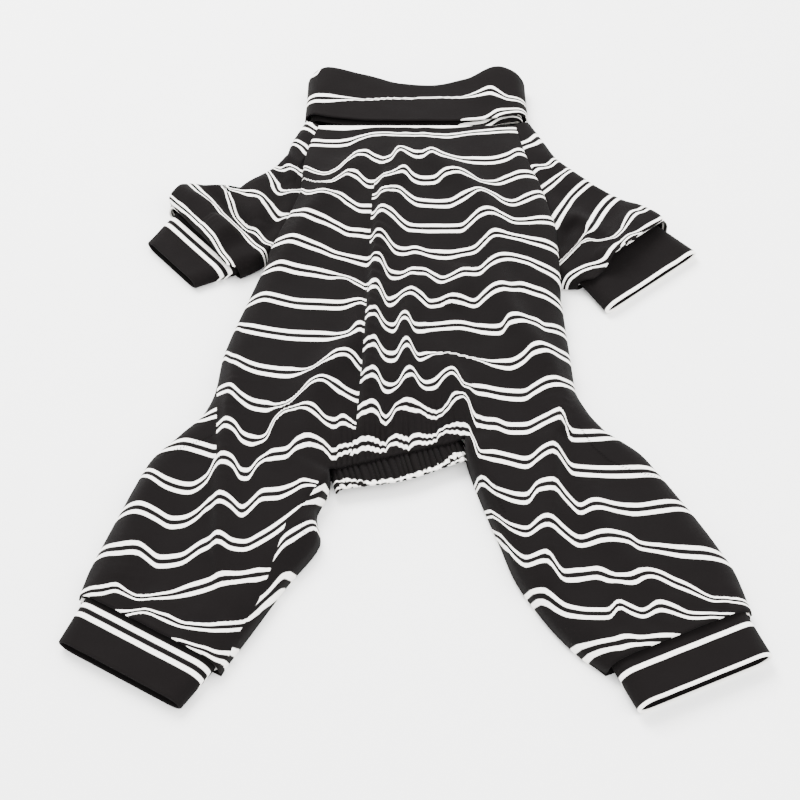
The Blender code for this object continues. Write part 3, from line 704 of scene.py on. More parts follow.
@dataclass(frozen=True)
class StripeField:
    """Where a piece's pairs of stripes lie, as rows of places in the view laid onto its cloth.

    The first rows, as many as high_rows says, run past the cloth's edges at the height of the neck.
    """

    rows: tuple
    high_rows: int = 0
    spread: float = 0.0048
    share: float = 0.2
    pitch: float = 0.024
    turn: float = 0.0
    grain: float = 0.0005
    softness: float = 0.0011
    least_step: float = 0.0012
    full_gap: float = 0.021
    high_rest: float = 0.013
    low_rest: float = 0.006

    def turned(self, points: Grid) -> tuple:
        """Coordinates along and across the rows of stripes."""
        angle = radians(self.turn)
        along = points[..., 0] * cos(angle) + points[..., 1] * sin(angle)
        return along, points[..., 1] * cos(angle) - points[..., 0] * sin(angle)

    def read_row(self, row: tuple, cloth: BVHTree, at: Grid, rest: float) -> tuple:
        """Lay one pair of stripes onto the cloth.

        Args:
            row: Its places in the view.
            cloth: Search tree of the cloth.
            at: Places along the rows where it is read.
            rest: Height of the places that lie past the cloth's edges.

        Returns:
            Place across the rows and shown width at each place.
        """
        marks = [StripePoint(*mark) for mark in row]
        landed = np.array([VIEW.land(mark.right, mark.down, cloth, rest) for mark in marks])
        along, across = self.turned(landed)
        order = np.argsort(along)
        along, across = along[order], across[order]
        width = np.array([mark.width for mark in marks])[order]
        keep = np.concatenate([[True], np.diff(along) > 2e-4])
        axis = np.arange(along[0] - 4 * self.softness, along[-1] + 4 * self.softness, self.grain)
        reach = round(3 * self.softness / self.grain)
        weights = np.exp(-0.5 * (np.arange(-reach, reach + 1) * self.grain / self.softness) ** 2)
        read = []
        for values in (across, width):
            curve = np.pad(shape(list(zip(along[keep], values[keep])), axis), reach, mode="edge")
            read.append(np.interp(at, axis, np.convolve(curve, weights / weights.sum(), mode="valid")))
        return tuple(read)

    def phase(self, points: Grid, cloth: BVHTree) -> Grid:
        """Count of stripe pairs from the first one, for plan points.

        Args:
            points: Plan points of any array shape.
            cloth: Search tree of the cloth that the rows are laid onto.

        Returns:
            A whole number on the middle of each pair, rising from the neck down.
        """
        flat = points.reshape(-1, 2)
        along, across = self.turned(flat)
        rests = [self.high_rest if k < self.high_rows else self.low_rest for k in range(len(self.rows))]
        read = [self.read_row(row, cloth, along, rest) for row, rest in zip(self.rows, rests)]
        middle = np.array([row[0] for row in read])
        width = np.array([row[1] for row in read])
        for k in range(1, len(middle)):
            middle[k] = np.minimum(middle[k], middle[k - 1] - self.least_step)
        gaps = middle[:-1] - middle[1:]
        near = np.vstack([gaps[:1], np.minimum(gaps[:-1], gaps[1:]), gaps[-1:]])
        half = self.spread * width * np.clip(near / self.full_gap, 0.4, 1.0)
        half = np.clip(half, 1e-5, 0.42 * near)
        knots = np.stack([middle + half, middle - half], axis=1).reshape(2 * len(middle), -1)
        counts = np.arange(len(middle))
        marks = np.stack([counts - self.share, counts + self.share], 1).ravel()
        phase = np.where(across > knots[0], marks[0] - (across - knots[0]) / self.pitch,
                         marks[-1] + (knots[-1] - across) / self.pitch)
        for k in range(len(knots) - 1):
            inside = (across <= knots[k]) & (across >= knots[k + 1])
            part = (knots[k] - across) / np.maximum(knots[k] - knots[k + 1], 1e-9)
            phase = np.where(inside, marks[k] + part * (marks[k + 1] - marks[k]), phase)
        return phase.reshape(points.shape[:-1])


def plain_stripes(count: Grid) -> Grid:
    """Stripes of a piece with no hidden stretches: the same count on both sides of any edge."""
    return np.stack([count, np.full(count.shape, -1.0), count], axis=-1)


def past_cut(points: Grid, cut: Cut, cloth: BVHTree) -> Grid:
    """Distance that plan points lie past the edge of a fold.

    Args:
        points: Plan points of any array shape.
        cut: The edge, which runs up and down in the view.
        cloth: Search tree of the cloth that it is laid onto.

    Returns:
        Metres past the edge, less than 0 before it and -1 above and below its ends.
    """
    landed = np.array([VIEW.land(*mark, cloth) for mark in cut.path])
    x, y = landed[np.argsort(landed[:, 1])].T
    beside = (points[..., 1] >= y[0]) & (points[..., 1] <= y[-1])
    return np.where(beside, cut.side * (points[..., 0] - np.interp(points[..., 1], y, x)), -1.0)


def search_tree(grids: Sequence[Grid]) -> BVHTree:
    """Search tree of several point grids in the drawing frame."""
    vertices, faces = [], []
    for grid in grids:
        faces += grid_faces(grid.shape[0], grid.shape[1], len(vertices)).tolist()
        vertices += grid.reshape(-1, 3).tolist()
    return BVHTree.FromPolygons(vertices, faces)


def grid_faces(rows: int, columns: int, start: int = 0, closed: bool = False) -> Grid:
    """Faces of a grid of points that look up where its rows run down and its columns run right.

    Args:
        rows: Number of rows of points.
        columns: Number of points in a row.
        start: Number of the first point.
        closed: True where the last column joins the first.

    Returns:
        Four point numbers for each face.
    """
    i = np.arange(rows - 1)[:, None] * columns
    j = np.arange(columns if closed else columns - 1)[None]
    k = (j + 1) % columns
    quads = np.stack(np.broadcast_arrays(i + j, i + columns + j, i + columns + k, i + k), axis=-1)
    return quads.reshape(-1, 4) + start


def lower_side(grid: Grid, edge: float) -> Grid:
    """Height of cloth that lies on the surface and turns up to its edges' height at its side seams."""
    low = SIZES.wall / 2
    return low + (edge - low) * (1 - roll_over(np.minimum(*edge_distances(grid)), SIZES.tube_roll))


def raise_grid(grid: Grid, height: Grid) -> Grid:
    """Join a plan grid and its heights into points."""
    return np.concatenate([grid, np.broadcast_to(height, grid.shape[:2])[..., None]], axis=2)


def ring(top: Grid, bottom: Grid, seam_height: float) -> Grid:
    """A closed ring from a top row and a bottom row of points, both left to right."""
    left, right = top[0].copy(), top[-1].copy()
    left[2] = right[2] = seam_height
    return np.vstack([[left], top[1:-1], [right], bottom[1:-1][::-1]])


def edge_shares(inner: int, margin: float, rolls: int = 6) -> Grid:
    """Shares across a tube, closer together on the rolls at both ends."""
    curl = margin * (1 - np.cos(np.linspace(0, pi / 2, rolls + 1)[:-1]))
    return np.concatenate([curl, np.linspace(margin, 1 - margin, inner + 1), 1 - curl[::-1]])


def along_path(path: Grid, shares: Grid) -> Grid:
    """Points at shares of the length of a path."""
    at = row_shares(path)
    return np.column_stack([np.interp(shares, at, column) for column in path.T])


def bowed_edge(start: Grid, end: Grid, bows: Rows, outward: Grid, at: Grid) -> Grid:
    """An edge from start to end that bows outward by shares of its length."""
    chord = end - start
    length = np.hypot(*chord)
    normal = np.array([chord[1], -chord[0]]) / length
    if normal @ outward < 0:
        normal = -normal
    return start + np.outer(at, chord) + np.outer(shape(bows, at) * length, normal)


def cuff_line(limb: Limb, base_run: float, length: float) -> tuple:
    """Centre, direction along the seam and outward axis of a cuff."""
    centre = np.array([limb.across * SIZES.hip_width, -base_run * SIZES.body_length - limb.reach * length])
    along = np.array([cos(radians(limb.turn)), sin(radians(limb.turn))])
    return centre, along, np.array([along[1], -along[0]])


def fold_lift(points: Grid, folds: Sequence[Fold], seen: bool = False) -> Grid:
    """Height that folds add at plan points.

    Args:
        points: Plan points of any array shape.
        folds: The folds.
        seen: True where their paths are places in the view, not shares of the two main sizes.

    Returns:
        The height in metres.
    """
    flat = points.reshape(-1, 2)
    lift = np.zeros(len(flat))
    for fold in folds:
        knots = np.array([VIEW.land(*knot, rest=SLEEVE_CREST) if seen else SIZES.plan(*knot)
                          for knot in fold.path])
        at = np.linspace(0, 1, 9 * len(knots))
        spread = np.linspace(0, 1, len(knots))
        crest = np.column_stack([shape(list(zip(spread, column)), at) for column in knots.T])
        away = flat[:, None] - crest[None]
        nearest = np.argmin((away**2).sum(axis=2), axis=1)
        heading = np.gradient(crest, axis=0)[nearest]
        heading /= np.linalg.norm(heading, axis=1)[:, None]
        gap = away[np.arange(len(flat)), nearest]
        beside = heading[:, 0] * gap[:, 1] - heading[:, 1] * gap[:, 0]
        beyond = (heading * gap).sum(axis=1)
        wide = np.where(beside > 0, fold.right, fold.left) * SIZES.fold_width
        taper = np.sin(np.pi * np.clip(at[nearest], 0.02, 0.98)) ** 0.5
        reach = np.exp(-np.abs(beside / wide) ** 1.8 - (beyond / SIZES.fold_width) ** 2)
        lift += fold.height * SIZES.fold_height * taper * reach
    return lift.reshape(points.shape[:-1])


def gather_wave(along: Grid, run: Grid) -> Grid:
    """Narrow pleats drawn in by an elastic, from -1 to 1.

    Args:
        along: Place along the elastic in metres.
        run: Share of the way down, which lets the pleats wander.

    Returns:
        The wave at each place.
    """
    points = np.stack(np.broadcast_arrays(along, 0.02 * run), axis=-1)
    drift = noise_field(points, 0.007, 9.0) + 0.5 * noise_field(points, 0.003, 12.0)
    return np.sin(2 * pi * along / GATHER_PITCH + 2.6 * drift) * (0.75 + 0.5 * drift)


@dataclass(frozen=True)
class SewingTable:
    """Joins point grids into cloth pieces with their wall, faces and places for the finishes."""

    seat: Vector
    jersey: bpy.types.Material

    def sew(self, name: str, grids: Sequence[Grid], stripes: Sequence[Grid], places: Sequence[Grid],
            wall: float, closed: bool = False) -> bpy.types.Object:
        """Make one piece of cloth.

        Args:
            name: The piece's name.
            grids: Its point grids in the drawing frame.
            stripes: Count of stripe pairs, distance past a fold's edge and count past it at each point.
            places: Place along the cloth in metres at each point.
            wall: Thickness of the cloth.
            closed: True for a tube whose last column joins the first.

        Returns:
            The object, seated and dressed.
        """
        points, faces = np.zeros((0, 3)), []
        for grid in grids:
            faces += grid_faces(grid.shape[0], grid.shape[1], len(points), closed).tolist()
            points = np.vstack([points, grid.reshape(-1, 3)])
        mesh = bpy.data.meshes.new(name)
        mesh.from_pydata((points + np.array(self.seat)).tolist(), [], faces)
        corner = np.zeros(len(mesh.loops), dtype=np.int32)
        mesh.loops.foreach_get("vertex_index", corner)
        striped = np.concatenate([one.reshape(-1, 3) for one in stripes])
        maps = {
            "stripes": striped[:, :2],
            "stripes_past": striped[:, [2, 1]],
            "cloth": np.concatenate([place.reshape(-1, 2) for place in places]),
        }
        for key, values in maps.items():
            layer = mesh.uv_layers.new(name=key)
            layer.data.foreach_set("uv", values[corner].astype(np.float32).ravel())
        work = bmesh.new()
        work.from_mesh(mesh)
        bmesh.ops.remove_doubles(work, verts=work.verts, dist=1e-6)
        work.to_mesh(mesh)
        work.free()
        mesh.shade_smooth()
        mesh.materials.append(self.jersey)
        piece = add_object(name, mesh)
        shell = piece.modifiers.new("wall", "SOLIDIFY")
        shell.thickness = wall
        shell.offset = 0.0
        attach(piece, "root")
        return piece


@dataclass
class BodyPanels:
    """The belly and back panels, each cut in one with its halves of both hind legs."""

    table: SewingTable
    trunk_rows: int = 180
    leg_rows: int = 76
    leg_columns: int = 58
    hem_columns: int = 88
    ramp_columns: int = 22
    back_rows: int = 60
    back_leg_rows: int = 26
    back_leg_columns: int = 20
    back_hem_columns: int = 18
    wrinkle: float = 0.00045
    pleat: float = 0.0011
    tuck_reach: float = 0.008
    left_field: StripeField = StripeField(LEFT_STRIPES, high_rows=7)
    right_field: StripeField = StripeField(RIGHT_STRIPES, high_rows=8)
    hidden_field: StripeField = StripeField(HIDDEN_STRIPES)
    top_grids: tuple = ()
    top_tree: Optional[BVHTree] = None

    def edge(self, side: int, runs: Grid) -> Grid:
        """Plan points of the left or right edge of the trunk at the given runs."""
        table = [(row.run, row.left if side < 0 else row.right) for row in SIDES]
        return np.column_stack([side * shape(table, runs) * SIZES.hip_width, -runs * SIZES.body_length])

    def trunk_plan(self, rows: int, leg_columns: int, hem_columns: int) -> Grid:
        """Plan grid of the trunk from the neck seam to the hem and the tops of the legs."""
        runs = np.linspace(0, OUTER_RUN, rows + 1)
        left, right = self.edge(-1, runs), self.edge(1, runs)
        hem_left, hem_right = SIZES.plan(*HEM_LEFT), SIZES.plan(*HEM_RIGHT)
        leg = np.linspace(0, 1, leg_columns + 1)[:, None]
        hem = np.linspace(0, 1, hem_columns + 1)[:, None]
        last = np.vstack([
            left[-1] + leg * (hem_left - left[-1]),
            (hem_left + hem * (hem_right - hem_left))[1:-1],
            hem_right + leg * (right[-1] - hem_right),
        ])
        first = left[0] + row_shares(last)[:, None] * (right[0] - left[0])
        return patch(first, last, left, right)

    def leg_plan(self, limb: Limb, start: Grid, rows: int) -> Grid:
        """Plan grid of a hind leg from its first row down to the seam of its cuff."""
        centre, along, _ = cuff_line(limb, 1.0, SIZES.leg_length)
        half = SIZES.hind_cuff_width * limb.fullness / 2
        ends = centre - along * half, centre + along * half
        at = np.linspace(0, 1, rows + 1)
        bows = (limb.outer, limb.inner) if limb.side < 0 else (limb.inner, limb.outer)
        left = bowed_edge(start[0], ends[0], bows[0], np.array([-1.0, 0.0]), at)
        right = bowed_edge(start[-1], ends[1], bows[1], np.array([1.0, 0.0]), at)
        last = ends[0] + row_shares(start)[:, None] * (ends[1] - ends[0])
        return patch(start, last, left, right)

    def trunk_top(self, grid: Grid) -> Grid:
        """Height of the belly panel over the trunk."""
        run = np.linspace(0, 1, len(grid))[:, None]
        column = np.arange(grid.shape[1])[None]
        crown = shape(((0.0, SIZES.neck_depth), (0.15, 0.86 * SIZES.body_depth), (0.45, SIZES.body_depth),
                       (0.8, 0.98 * SIZES.body_depth), (1.0, 0.86 * SIZES.body_depth)), run)
        ramp = self.ramp_columns
        hem_end = self.leg_columns + self.hem_columns
        hem_span = smooth_step((column - self.leg_columns + 0.66 * ramp) / ramp)
        hem_span = hem_span * smooth_step((hem_end + 0.66 * ramp - column) / ramp)
        crown = crown - (crown - SIZES.hem_depth) * hem_span * smooth_step((run - 0.8) / 0.2)
        height = np.broadcast_to(crown, grid.shape[:2]) * 1.0
        from_left, from_right = edge_distances(grid)
        for armpit, away in ((ARMPIT_LEFT, from_left), (ARMPIT_RIGHT, from_right)):
            drop = smooth_step((run * OUTER_RUN - armpit) / 0.04)
            open_edge = SIZES.neck_depth - (SIZES.neck_depth - SIZES.seam_height) * drop
            height = open_edge + (height - open_edge) * roll_over(away, SIZES.edge_roll)
        free = smooth_step(run / 0.08) * smooth_step((1.0 - run * hem_span) / 0.08)
        side = roll_over(np.minimum(from_left, from_right), SIZES.edge_roll)
        wave = gather_wave(grid[..., 0], -grid[..., 1] / SIZES.body_length)
        gathers = wave * self.pleat * hem_span * smooth_step((run - 0.86) / 0.14)
        return height + self.creased(grid) * free * side + gathers + self.neck_pleats(grid, run)

    def creased(self, grid: Grid) -> Grid:
        """Height that the folds and the fine creases between them add."""
        creases = noise_field(grid, 0.011, 1.5) + 1.6 * noise_field(grid, 0.028, 4.5)
        return fold_lift(grid, FOLDS) + self.wrinkle * creases

    def neck_pleats(self, grid: Grid, run: Grid) -> Grid:
        """Short pleats under the collar, where the neck seam is drawn in."""
        swing = noise_field(grid * np.array([1.0, 0.3]), 0.007, 13.0)
        middle = np.exp(-((grid[..., 0] - SIZES.plan(0.02, 0)[0]) / 0.035) ** 2)
        return self.pleat * swing * middle * smooth_step(run / 0.02) * smooth_step((0.16 - run) / 0.12)

    def leg_top(self, limb: Limb, grid: Grid) -> Grid:
        """Height of the belly panel over a hind leg."""
        run = np.linspace(0, 1, len(grid))[:, None]
        crown = shape(((0.0, 0.86 * SIZES.body_depth), (0.3, SIZES.leg_depth),
                       (1.0, 0.88 * SIZES.leg_depth)), run)
        from_left, from_right = edge_distances(grid)
        outer, inner = (from_left, from_right) if limb.side < 0 else (from_right, from_left)
        seam = SIZES.seam_height
        inner_seam = SIZES.hem_depth - (SIZES.hem_depth - seam) * smooth_step(run / 0.12)
        inner_roll = SIZES.edge_roll * (0.15 + 0.85 * smooth_step(run / 0.3))
        side = roll_over(outer, SIZES.edge_roll) * roll_over(inner, inner_roll)
        height = seam + (crown - seam) * roll_over(outer, SIZES.edge_roll)
        height = inner_seam + (height - inner_seam) * roll_over(inner, inner_roll)
        gathers = self.pleat * noise_field(grid, 0.008, 3.0) * smooth_step((run - 0.75) / 0.2)
        return height + (self.creased(grid) * smooth_step((1 - run) / 0.15) + gathers) * side

    def stripes(self, grid: Grid) -> Grid:
        """Stripes at plan points, with breaks at the central tuck and at the edges of two more folds.

        Args:
            grid: Plan points.

        Returns:
            Count of stripe pairs, distance past an edge in centimetres and count past it.
        """
        past_tuck = grid[..., 0] - shape(TUCK, -grid[..., 1] / SIZES.body_length) * SIZES.hip_width
        past_fold = np.max([past_cut(grid, cut, self.top_tree) for cut in CUTS], axis=0)
        past_fold = np.where(past_tuck > 0, -1.0, past_fold)
        left, right, hidden = (field.phase(grid, self.top_tree)
                               for field in (self.left_field, self.right_field, self.hidden_field))
        past = np.where(past_tuck > -self.tuck_reach, right, hidden)
        return np.stack([left, 100 * np.maximum(past_tuck, past_fold), past], axis=-1)

    def belly(self) -> bpy.types.Object:
        """The upper sheet."""
        grid = self.trunk_plan(self.trunk_rows, self.leg_columns, self.hem_columns)
        height = self.trunk_top(grid)
        plans, heights = [grid], [height]
        spans = slice(0, self.leg_columns + 1), slice(self.leg_columns + self.hem_columns, None)
        for limb, span in zip(HIND_LEGS, spans):
            leg = self.leg_plan(limb, grid[-1, span], self.leg_rows)
            rise = self.leg_top(limb, leg)
            blend = smooth_step(np.linspace(0, 1, len(leg)) / 0.06)[:, None]
            rise = height[-1, span][None] * (1 - blend) + rise * blend
            plans.append(leg)
            heights.append(rise)
        grids = [raise_grid(plan, rise) for plan, rise in zip(plans, heights)]
        self.top_grids = tuple(grids)
        self.top_tree = search_tree(grids)
        stripes = [self.stripes(plan) for plan in plans]
        piece = self.table.sew("belly_jersey", grids, stripes, plans, SIZES.wall)
        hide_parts("belly_panel")
        return piece

    def back(self) -> bpy.types.Object:
        """The lower sheet, flat on the floor."""
        grid = self.trunk_plan(self.back_rows, self.back_leg_columns, self.back_hem_columns)
        run = np.linspace(0, OUTER_RUN, len(grid))[:, None]
        columns = np.arange(grid.shape[1])[None]
        armpit = np.where(columns < grid.shape[1] // 2, ARMPIT_LEFT, ARMPIT_RIGHT)
        low = SIZES.wall / 2
        edge = SIZES.seam_height - 2 * SIZES.seam_gap
        height = low + (lower_side(grid, edge) - low) * smooth_step((run - armpit) / 0.05)
        plans, heights = [grid], [height]
        hem_end = self.back_leg_columns + self.back_hem_columns
        for limb, span in zip(HIND_LEGS, (slice(0, self.back_leg_columns + 1), slice(hem_end, None))):
            leg = self.leg_plan(limb, grid[-1, span], self.back_leg_rows)
            rise = lower_side(leg, edge)
            rise[0] = height[-1, span]
            rise[-1] = low
            plans.append(leg)
            heights.append(rise)
        grids = [raise_grid(plan, rise)[:, ::-1] for plan, rise in zip(plans, heights)]
        plans = [plan[:, ::-1] for plan in plans]
        stripes = [self.stripes(plan) for plan in plans]
        piece = self.table.sew("back_jersey", grids, stripes, plans, SIZES.wall)
        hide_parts("back_panel")
        return piece

    def build(self) -> list:
        """Make both panels."""
        return [self.belly(), self.back()]


@dataclass
class Sleeve:
    """A raglan sleeve: an open tube from the raglan seam to its cuff, slouched above the cuff."""

    table: SewingTable
    limb: Limb
    panels: BodyPanels
    field_rows: tuple = ()
    turn: float = 0.0
    rows: int = 84
    columns: int = 64
    overhang: float = 0.007
    wrinkle: float = 0.0006

    def first_row(self, inset: float, shares: Grid) -> Grid:
        """The raglan seam and the sleeve's neck edge, left to right."""
        side = self.limb.side
        armpit = ARMPIT_LEFT if side < 0 else ARMPIT_RIGHT
        path = self.panels.edge(side, np.linspace(armpit - 0.012, 0.0, 24))
        from_armpit = path[:, 1] - path[0, 1]
        path[:, 0] += side * 3 * SIZES.seam_gap
        path[:, 0] -= side * (inset + 3 * SIZES.seam_gap) * smooth_step(from_armpit / SIZES.edge_roll)
        neck = path[-1] + np.array([side * (SIZES.strip_width + inset),
                                    SIZES.neck_rise - 2 * SIZES.seam_gap])
        path = np.vstack([path, [neck]])
        return along_path(path[::-1] if side < 0 else path, shares)

    def plan(self, inset: float, shares: Grid, rows: Grid) -> Grid:
        """Plan grid from the raglan seam to the seam of the cuff."""
        limb = self.limb
        first = self.first_row(inset, shares)
        centre, along, _ = cuff_line(limb, 0.0, SIZES.body_length)
        half = SIZES.front_cuff_width * limb.fullness / 2
        ends = centre - along * half, centre + along * half
        bows = (limb.outer, limb.inner) if limb.side < 0 else (limb.inner, limb.outer)
        outward = np.array([0.0, 1.0])
        left = bowed_edge(first[0], ends[0], bows[0], outward if limb.side < 0 else -outward, rows)
        right = bowed_edge(first[-1], ends[1], bows[1], -outward if limb.side < 0 else outward, rows)
        last = ends[0] + shares[:, None] * (ends[1] - ends[0])
        return patch(first, last, left, right, rows)

    def top(self, grid: Grid, rows: Grid) -> Grid:
        """Height of the upper side, with its slouched folds."""
        run = rows[:, None]
        seam = SIZES.neck_depth - SIZES.wall - SIZES.seam_gap
        crown = seam + (SIZES.sleeve_depth - seam) * smooth_step(run / 0.3)
        from_left, from_right = edge_distances(grid)
        side = roll_over(np.minimum(from_left, from_right), SIZES.tube_roll)
        from_armpit = from_right if self.limb.side < 0 else from_left
        free = smooth_step(from_armpit / SIZES.edge_roll - 1) * smooth_step(run / 0.3)
        for slouch in SLOUCHES[self.limb.name]:
            bump = np.exp(-(((run - slouch.at) / slouch.width) ** 2))
            crown = crown + slouch.height * SIZES.fold_height * bump * free
        creases = self.wrinkle * (noise_field(grid, 0.010, 6.5) + 1.5 * noise_field(grid, 0.022, 8.5))
        folds = fold_lift(grid, SLEEVE_FOLDS[self.limb.name], seen=True)
        crown = crown + (creases + folds * free) * smooth_step(run / 0.12) * smooth_step((1 - run) / 0.05)
        return SIZES.seam_height + (crown - SIZES.seam_height) * side

    def build(self) -> bpy.types.Object:
        """Make the sleeve."""
        rows = np.linspace(0, 1, self.rows)
        shares = edge_shares(self.columns, 0.08)
        top = self.plan(SIZES.lap, shares, rows)
        bottom = self.plan(-3 * SIZES.seam_gap, shares, rows)
        height = self.top(top, rows)
        under = lower_side(bottom, SIZES.seam_height)
        _, _, axis = cuff_line(self.limb, 0.0, SIZES.body_length)
        reach = self.overhang * np.exp(-(((rows - 0.93) / 0.05) ** 2))[:, None]
        side = smooth_step(np.minimum(*edge_distances(top)) / SIZES.tube_roll)
        top = top + (reach * side * smooth_step((1 - rows) / 0.04)[:, None])[..., None] * axis
        upper, lower = raise_grid(top, height), raise_grid(bottom, under)
        rings = np.array([ring(one, other, SIZES.seam_height) for one, other in zip(upper, lower)])
        tree = search_tree([upper])
        name = self.limb.name.replace("_front", "_sleeve")
        count = StripeField(self.field_rows, turn=self.turn).phase(rings[..., :2], tree)
        piece = self.table.sew(name + "_jersey", [rings], [plain_stripes(count)], [rings[..., :2]],
                               SIZES.wall, closed=True)
        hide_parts(name)
        return piece


@dataclass
class Cuff:
    """A band cuff of doubled jersey: the cloth turns in over its open mouth."""

    table: SewingTable
    limb: Limb
    base_run: float
    length: float
    width: float
    depth: float
    stripes: tuple
    rows: int = 22
    turn_rows: int = 5
    inner_rows: int = 7
    inner_end: float = 0.55
    columns: int = 64
    flutter: float = 0.0007
    ply: float = 0.0008

    def path(self) -> list:
        """Rows from the seam over the mouth's rim and back inside.

        Returns:
            For each row its share of the way to the rim, its shift past it, its shift into the cuff and the
            length of cloth up to it.
        """
        half = (self.ply + 0.00008) / 2
        length = SIZES.cuff_length
        rows = [(share, 0.0, 0.0, share * length) for share in np.linspace(0, 1, self.rows)]
        for angle in np.linspace(0, pi, self.turn_rows + 2)[1:-1]:
            rows.append((1.0, half * sin(angle), half * (1 - cos(angle)), length + half * angle))
        for share in np.linspace(1, self.inner_end, self.inner_rows):
            rows.append((share, 0.0, 2 * half, length + half * pi + (1 - share) * length))
        return rows

    def build(self) -> bpy.types.Object:
        """Make the cuff."""
        limb = self.limb
        centre, along, axis = cuff_line(limb, self.base_run, self.length)
        shares = edge_shares(self.columns, 0.10)
        outward = (SIZES.cuff_wall - self.ply) / 2
        stripe_at, first, last = self.stripes
        rings, counts, places = [], [], []
        for share, past, inset, cloth in self.path():
            seam_half = self.width * limb.fullness / 2 - SIZES.lap
            half = seam_half + (self.width * limb.rim / 2 - seam_half) * share + outward - inset
            rise = self.depth * (1 + (limb.mouth - 1) * share) + outward - inset
            floor = SIZES.cuff_wall / 2 - outward + inset
            top_at = -SIZES.lap + share * (SIZES.cuff_length + SIZES.lap) + past
            bottom_at = 2 * SIZES.seam_gap + share * (SIZES.cuff_length - 2 * SIZES.seam_gap) + past
            top = centre + axis * top_at + np.outer(2 * shares - 1, along * half)
            bottom = centre + axis * bottom_at + np.outer(2 * shares - 1, along * half)
            seam = floor + 0.45 * (rise - floor)
            roll = roll_over(half - np.abs(2 * shares - 1) * half, SIZES.tube_roll)
            wave = self.flutter * share * noise_field(top, 0.012, 2.0 + self.depth * 100)
            top = np.column_stack([top, seam + (rise + wave - seam) * roll])
            bottom = np.column_stack([bottom, seam - (seam - floor) * roll])
            loop = ring(top, bottom, seam)
            rings.append(loop)
            at = cloth if inset else top_at
            count = min(max((at - stripe_at) / StripeField.pitch, first), last)
            counts.append(np.full(len(loop), count))
            girth = np.concatenate([[0.0], np.cumsum(np.linalg.norm(np.diff(loop, axis=0), axis=1))])
            places.append(np.column_stack([girth, np.full(len(loop), cloth)]))
        piece = self.table.sew(limb.name + "_cuff_jersey", [np.array(rings)],
                               [plain_stripes(np.array(counts))], [np.array(places)], self.ply, closed=True)
        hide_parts(limb.name + "_cuff")
        return piece


@dataclass
class Collar:
    """The turned-down collar: an inner band, a fold at the top and an outer band."""

    table: SewingTable
    field_rows: tuple
    panels: BodyPanels
    columns: int = 150
    rows: int = 76
    flutter: float = 0.0006

    def build(self) -> bpy.types.Object:
        """Make the collar."""
        centre = SIZES.collar_centre * SIZES.hip_width
        shares = edge_shares(self.columns, 0.06)
        low = SIZES.wall / 2 + SIZES.seam_gap
        seam_top = SIZES.neck_depth - SIZES.wall - SIZES.seam_gap
        seam = 0.45 * SIZES.neck_depth
        reach = shape([(row.across, row.reach) for row in COLLAR_EDGE], shares)
        lift = shape([(row.across, row.lift) for row in COLLAR_EDGE], shares)
        rise = SIZES.neck_rise * np.abs(2 * shares - 1) ** 4
        tucked = 1 - smooth_step((np.abs(2 * shares - 1) - 0.55) / 0.2)
        profile = np.array(COLLAR_PROFILE)
        at = np.linspace(0, 1, self.rows)
        spread = row_shares(profile * np.array([1.0, 0.07]))
        section = np.column_stack([np.interp(at, spread, column) for column in profile.T])
        uppers, lowers = [], []
        for along, layer in section:
            half = SIZES.collar_width / 2 - SIZES.collar_layer * (1 - layer)
            across = centre + (2 * shares - 1) * half
            up = rise + max(along, 0.0) * SIZES.collar_length * reach + 2 * SIZES.seam_gap
            rolled = roll_over(half - np.abs(2 * shares - 1) * half, SIZES.tube_roll)
            inner = tucked * (1 - smooth_step(along / 0.12)) * (layer < 0.5)
            drawn = up - (SIZES.lap + 2 * SIZES.seam_gap) * inner
            level = seam_top + SIZES.collar_layer * layer + lift * SIZES.neck_depth * smooth_step(along)
            plan = np.column_stack([across, drawn])
            level = level + self.flutter * layer * noise_field(plan, 0.016, 21.0)
            uppers.append(np.column_stack([plan, seam + (level - seam) * rolled]))
            under = max(along, COLLAR_UNDER * min(layer, 1.0))
            up = rise + under * SIZES.collar_length * reach + 2 * SIZES.seam_gap
            level = low + SIZES.collar_layer * max(1 - layer, 0.0) * smooth_step(along / COLLAR_UNDER)
            lowers.append(np.column_stack([across, up, seam + (level - seam) * rolled]))
        rings = np.array([ring(one, other, seam) for one, other in zip(uppers, lowers)])
        tree = search_tree([np.array(uppers), *self.panels.top_grids])
        count = StripeField(self.field_rows).phase(rings[..., :2], tree)
        piece = self.table.sew("collar_jersey", [rings], [plain_stripes(count)], [rings[..., :2]],
                               SIZES.wall, closed=True)
        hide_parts("collar")
        return piece


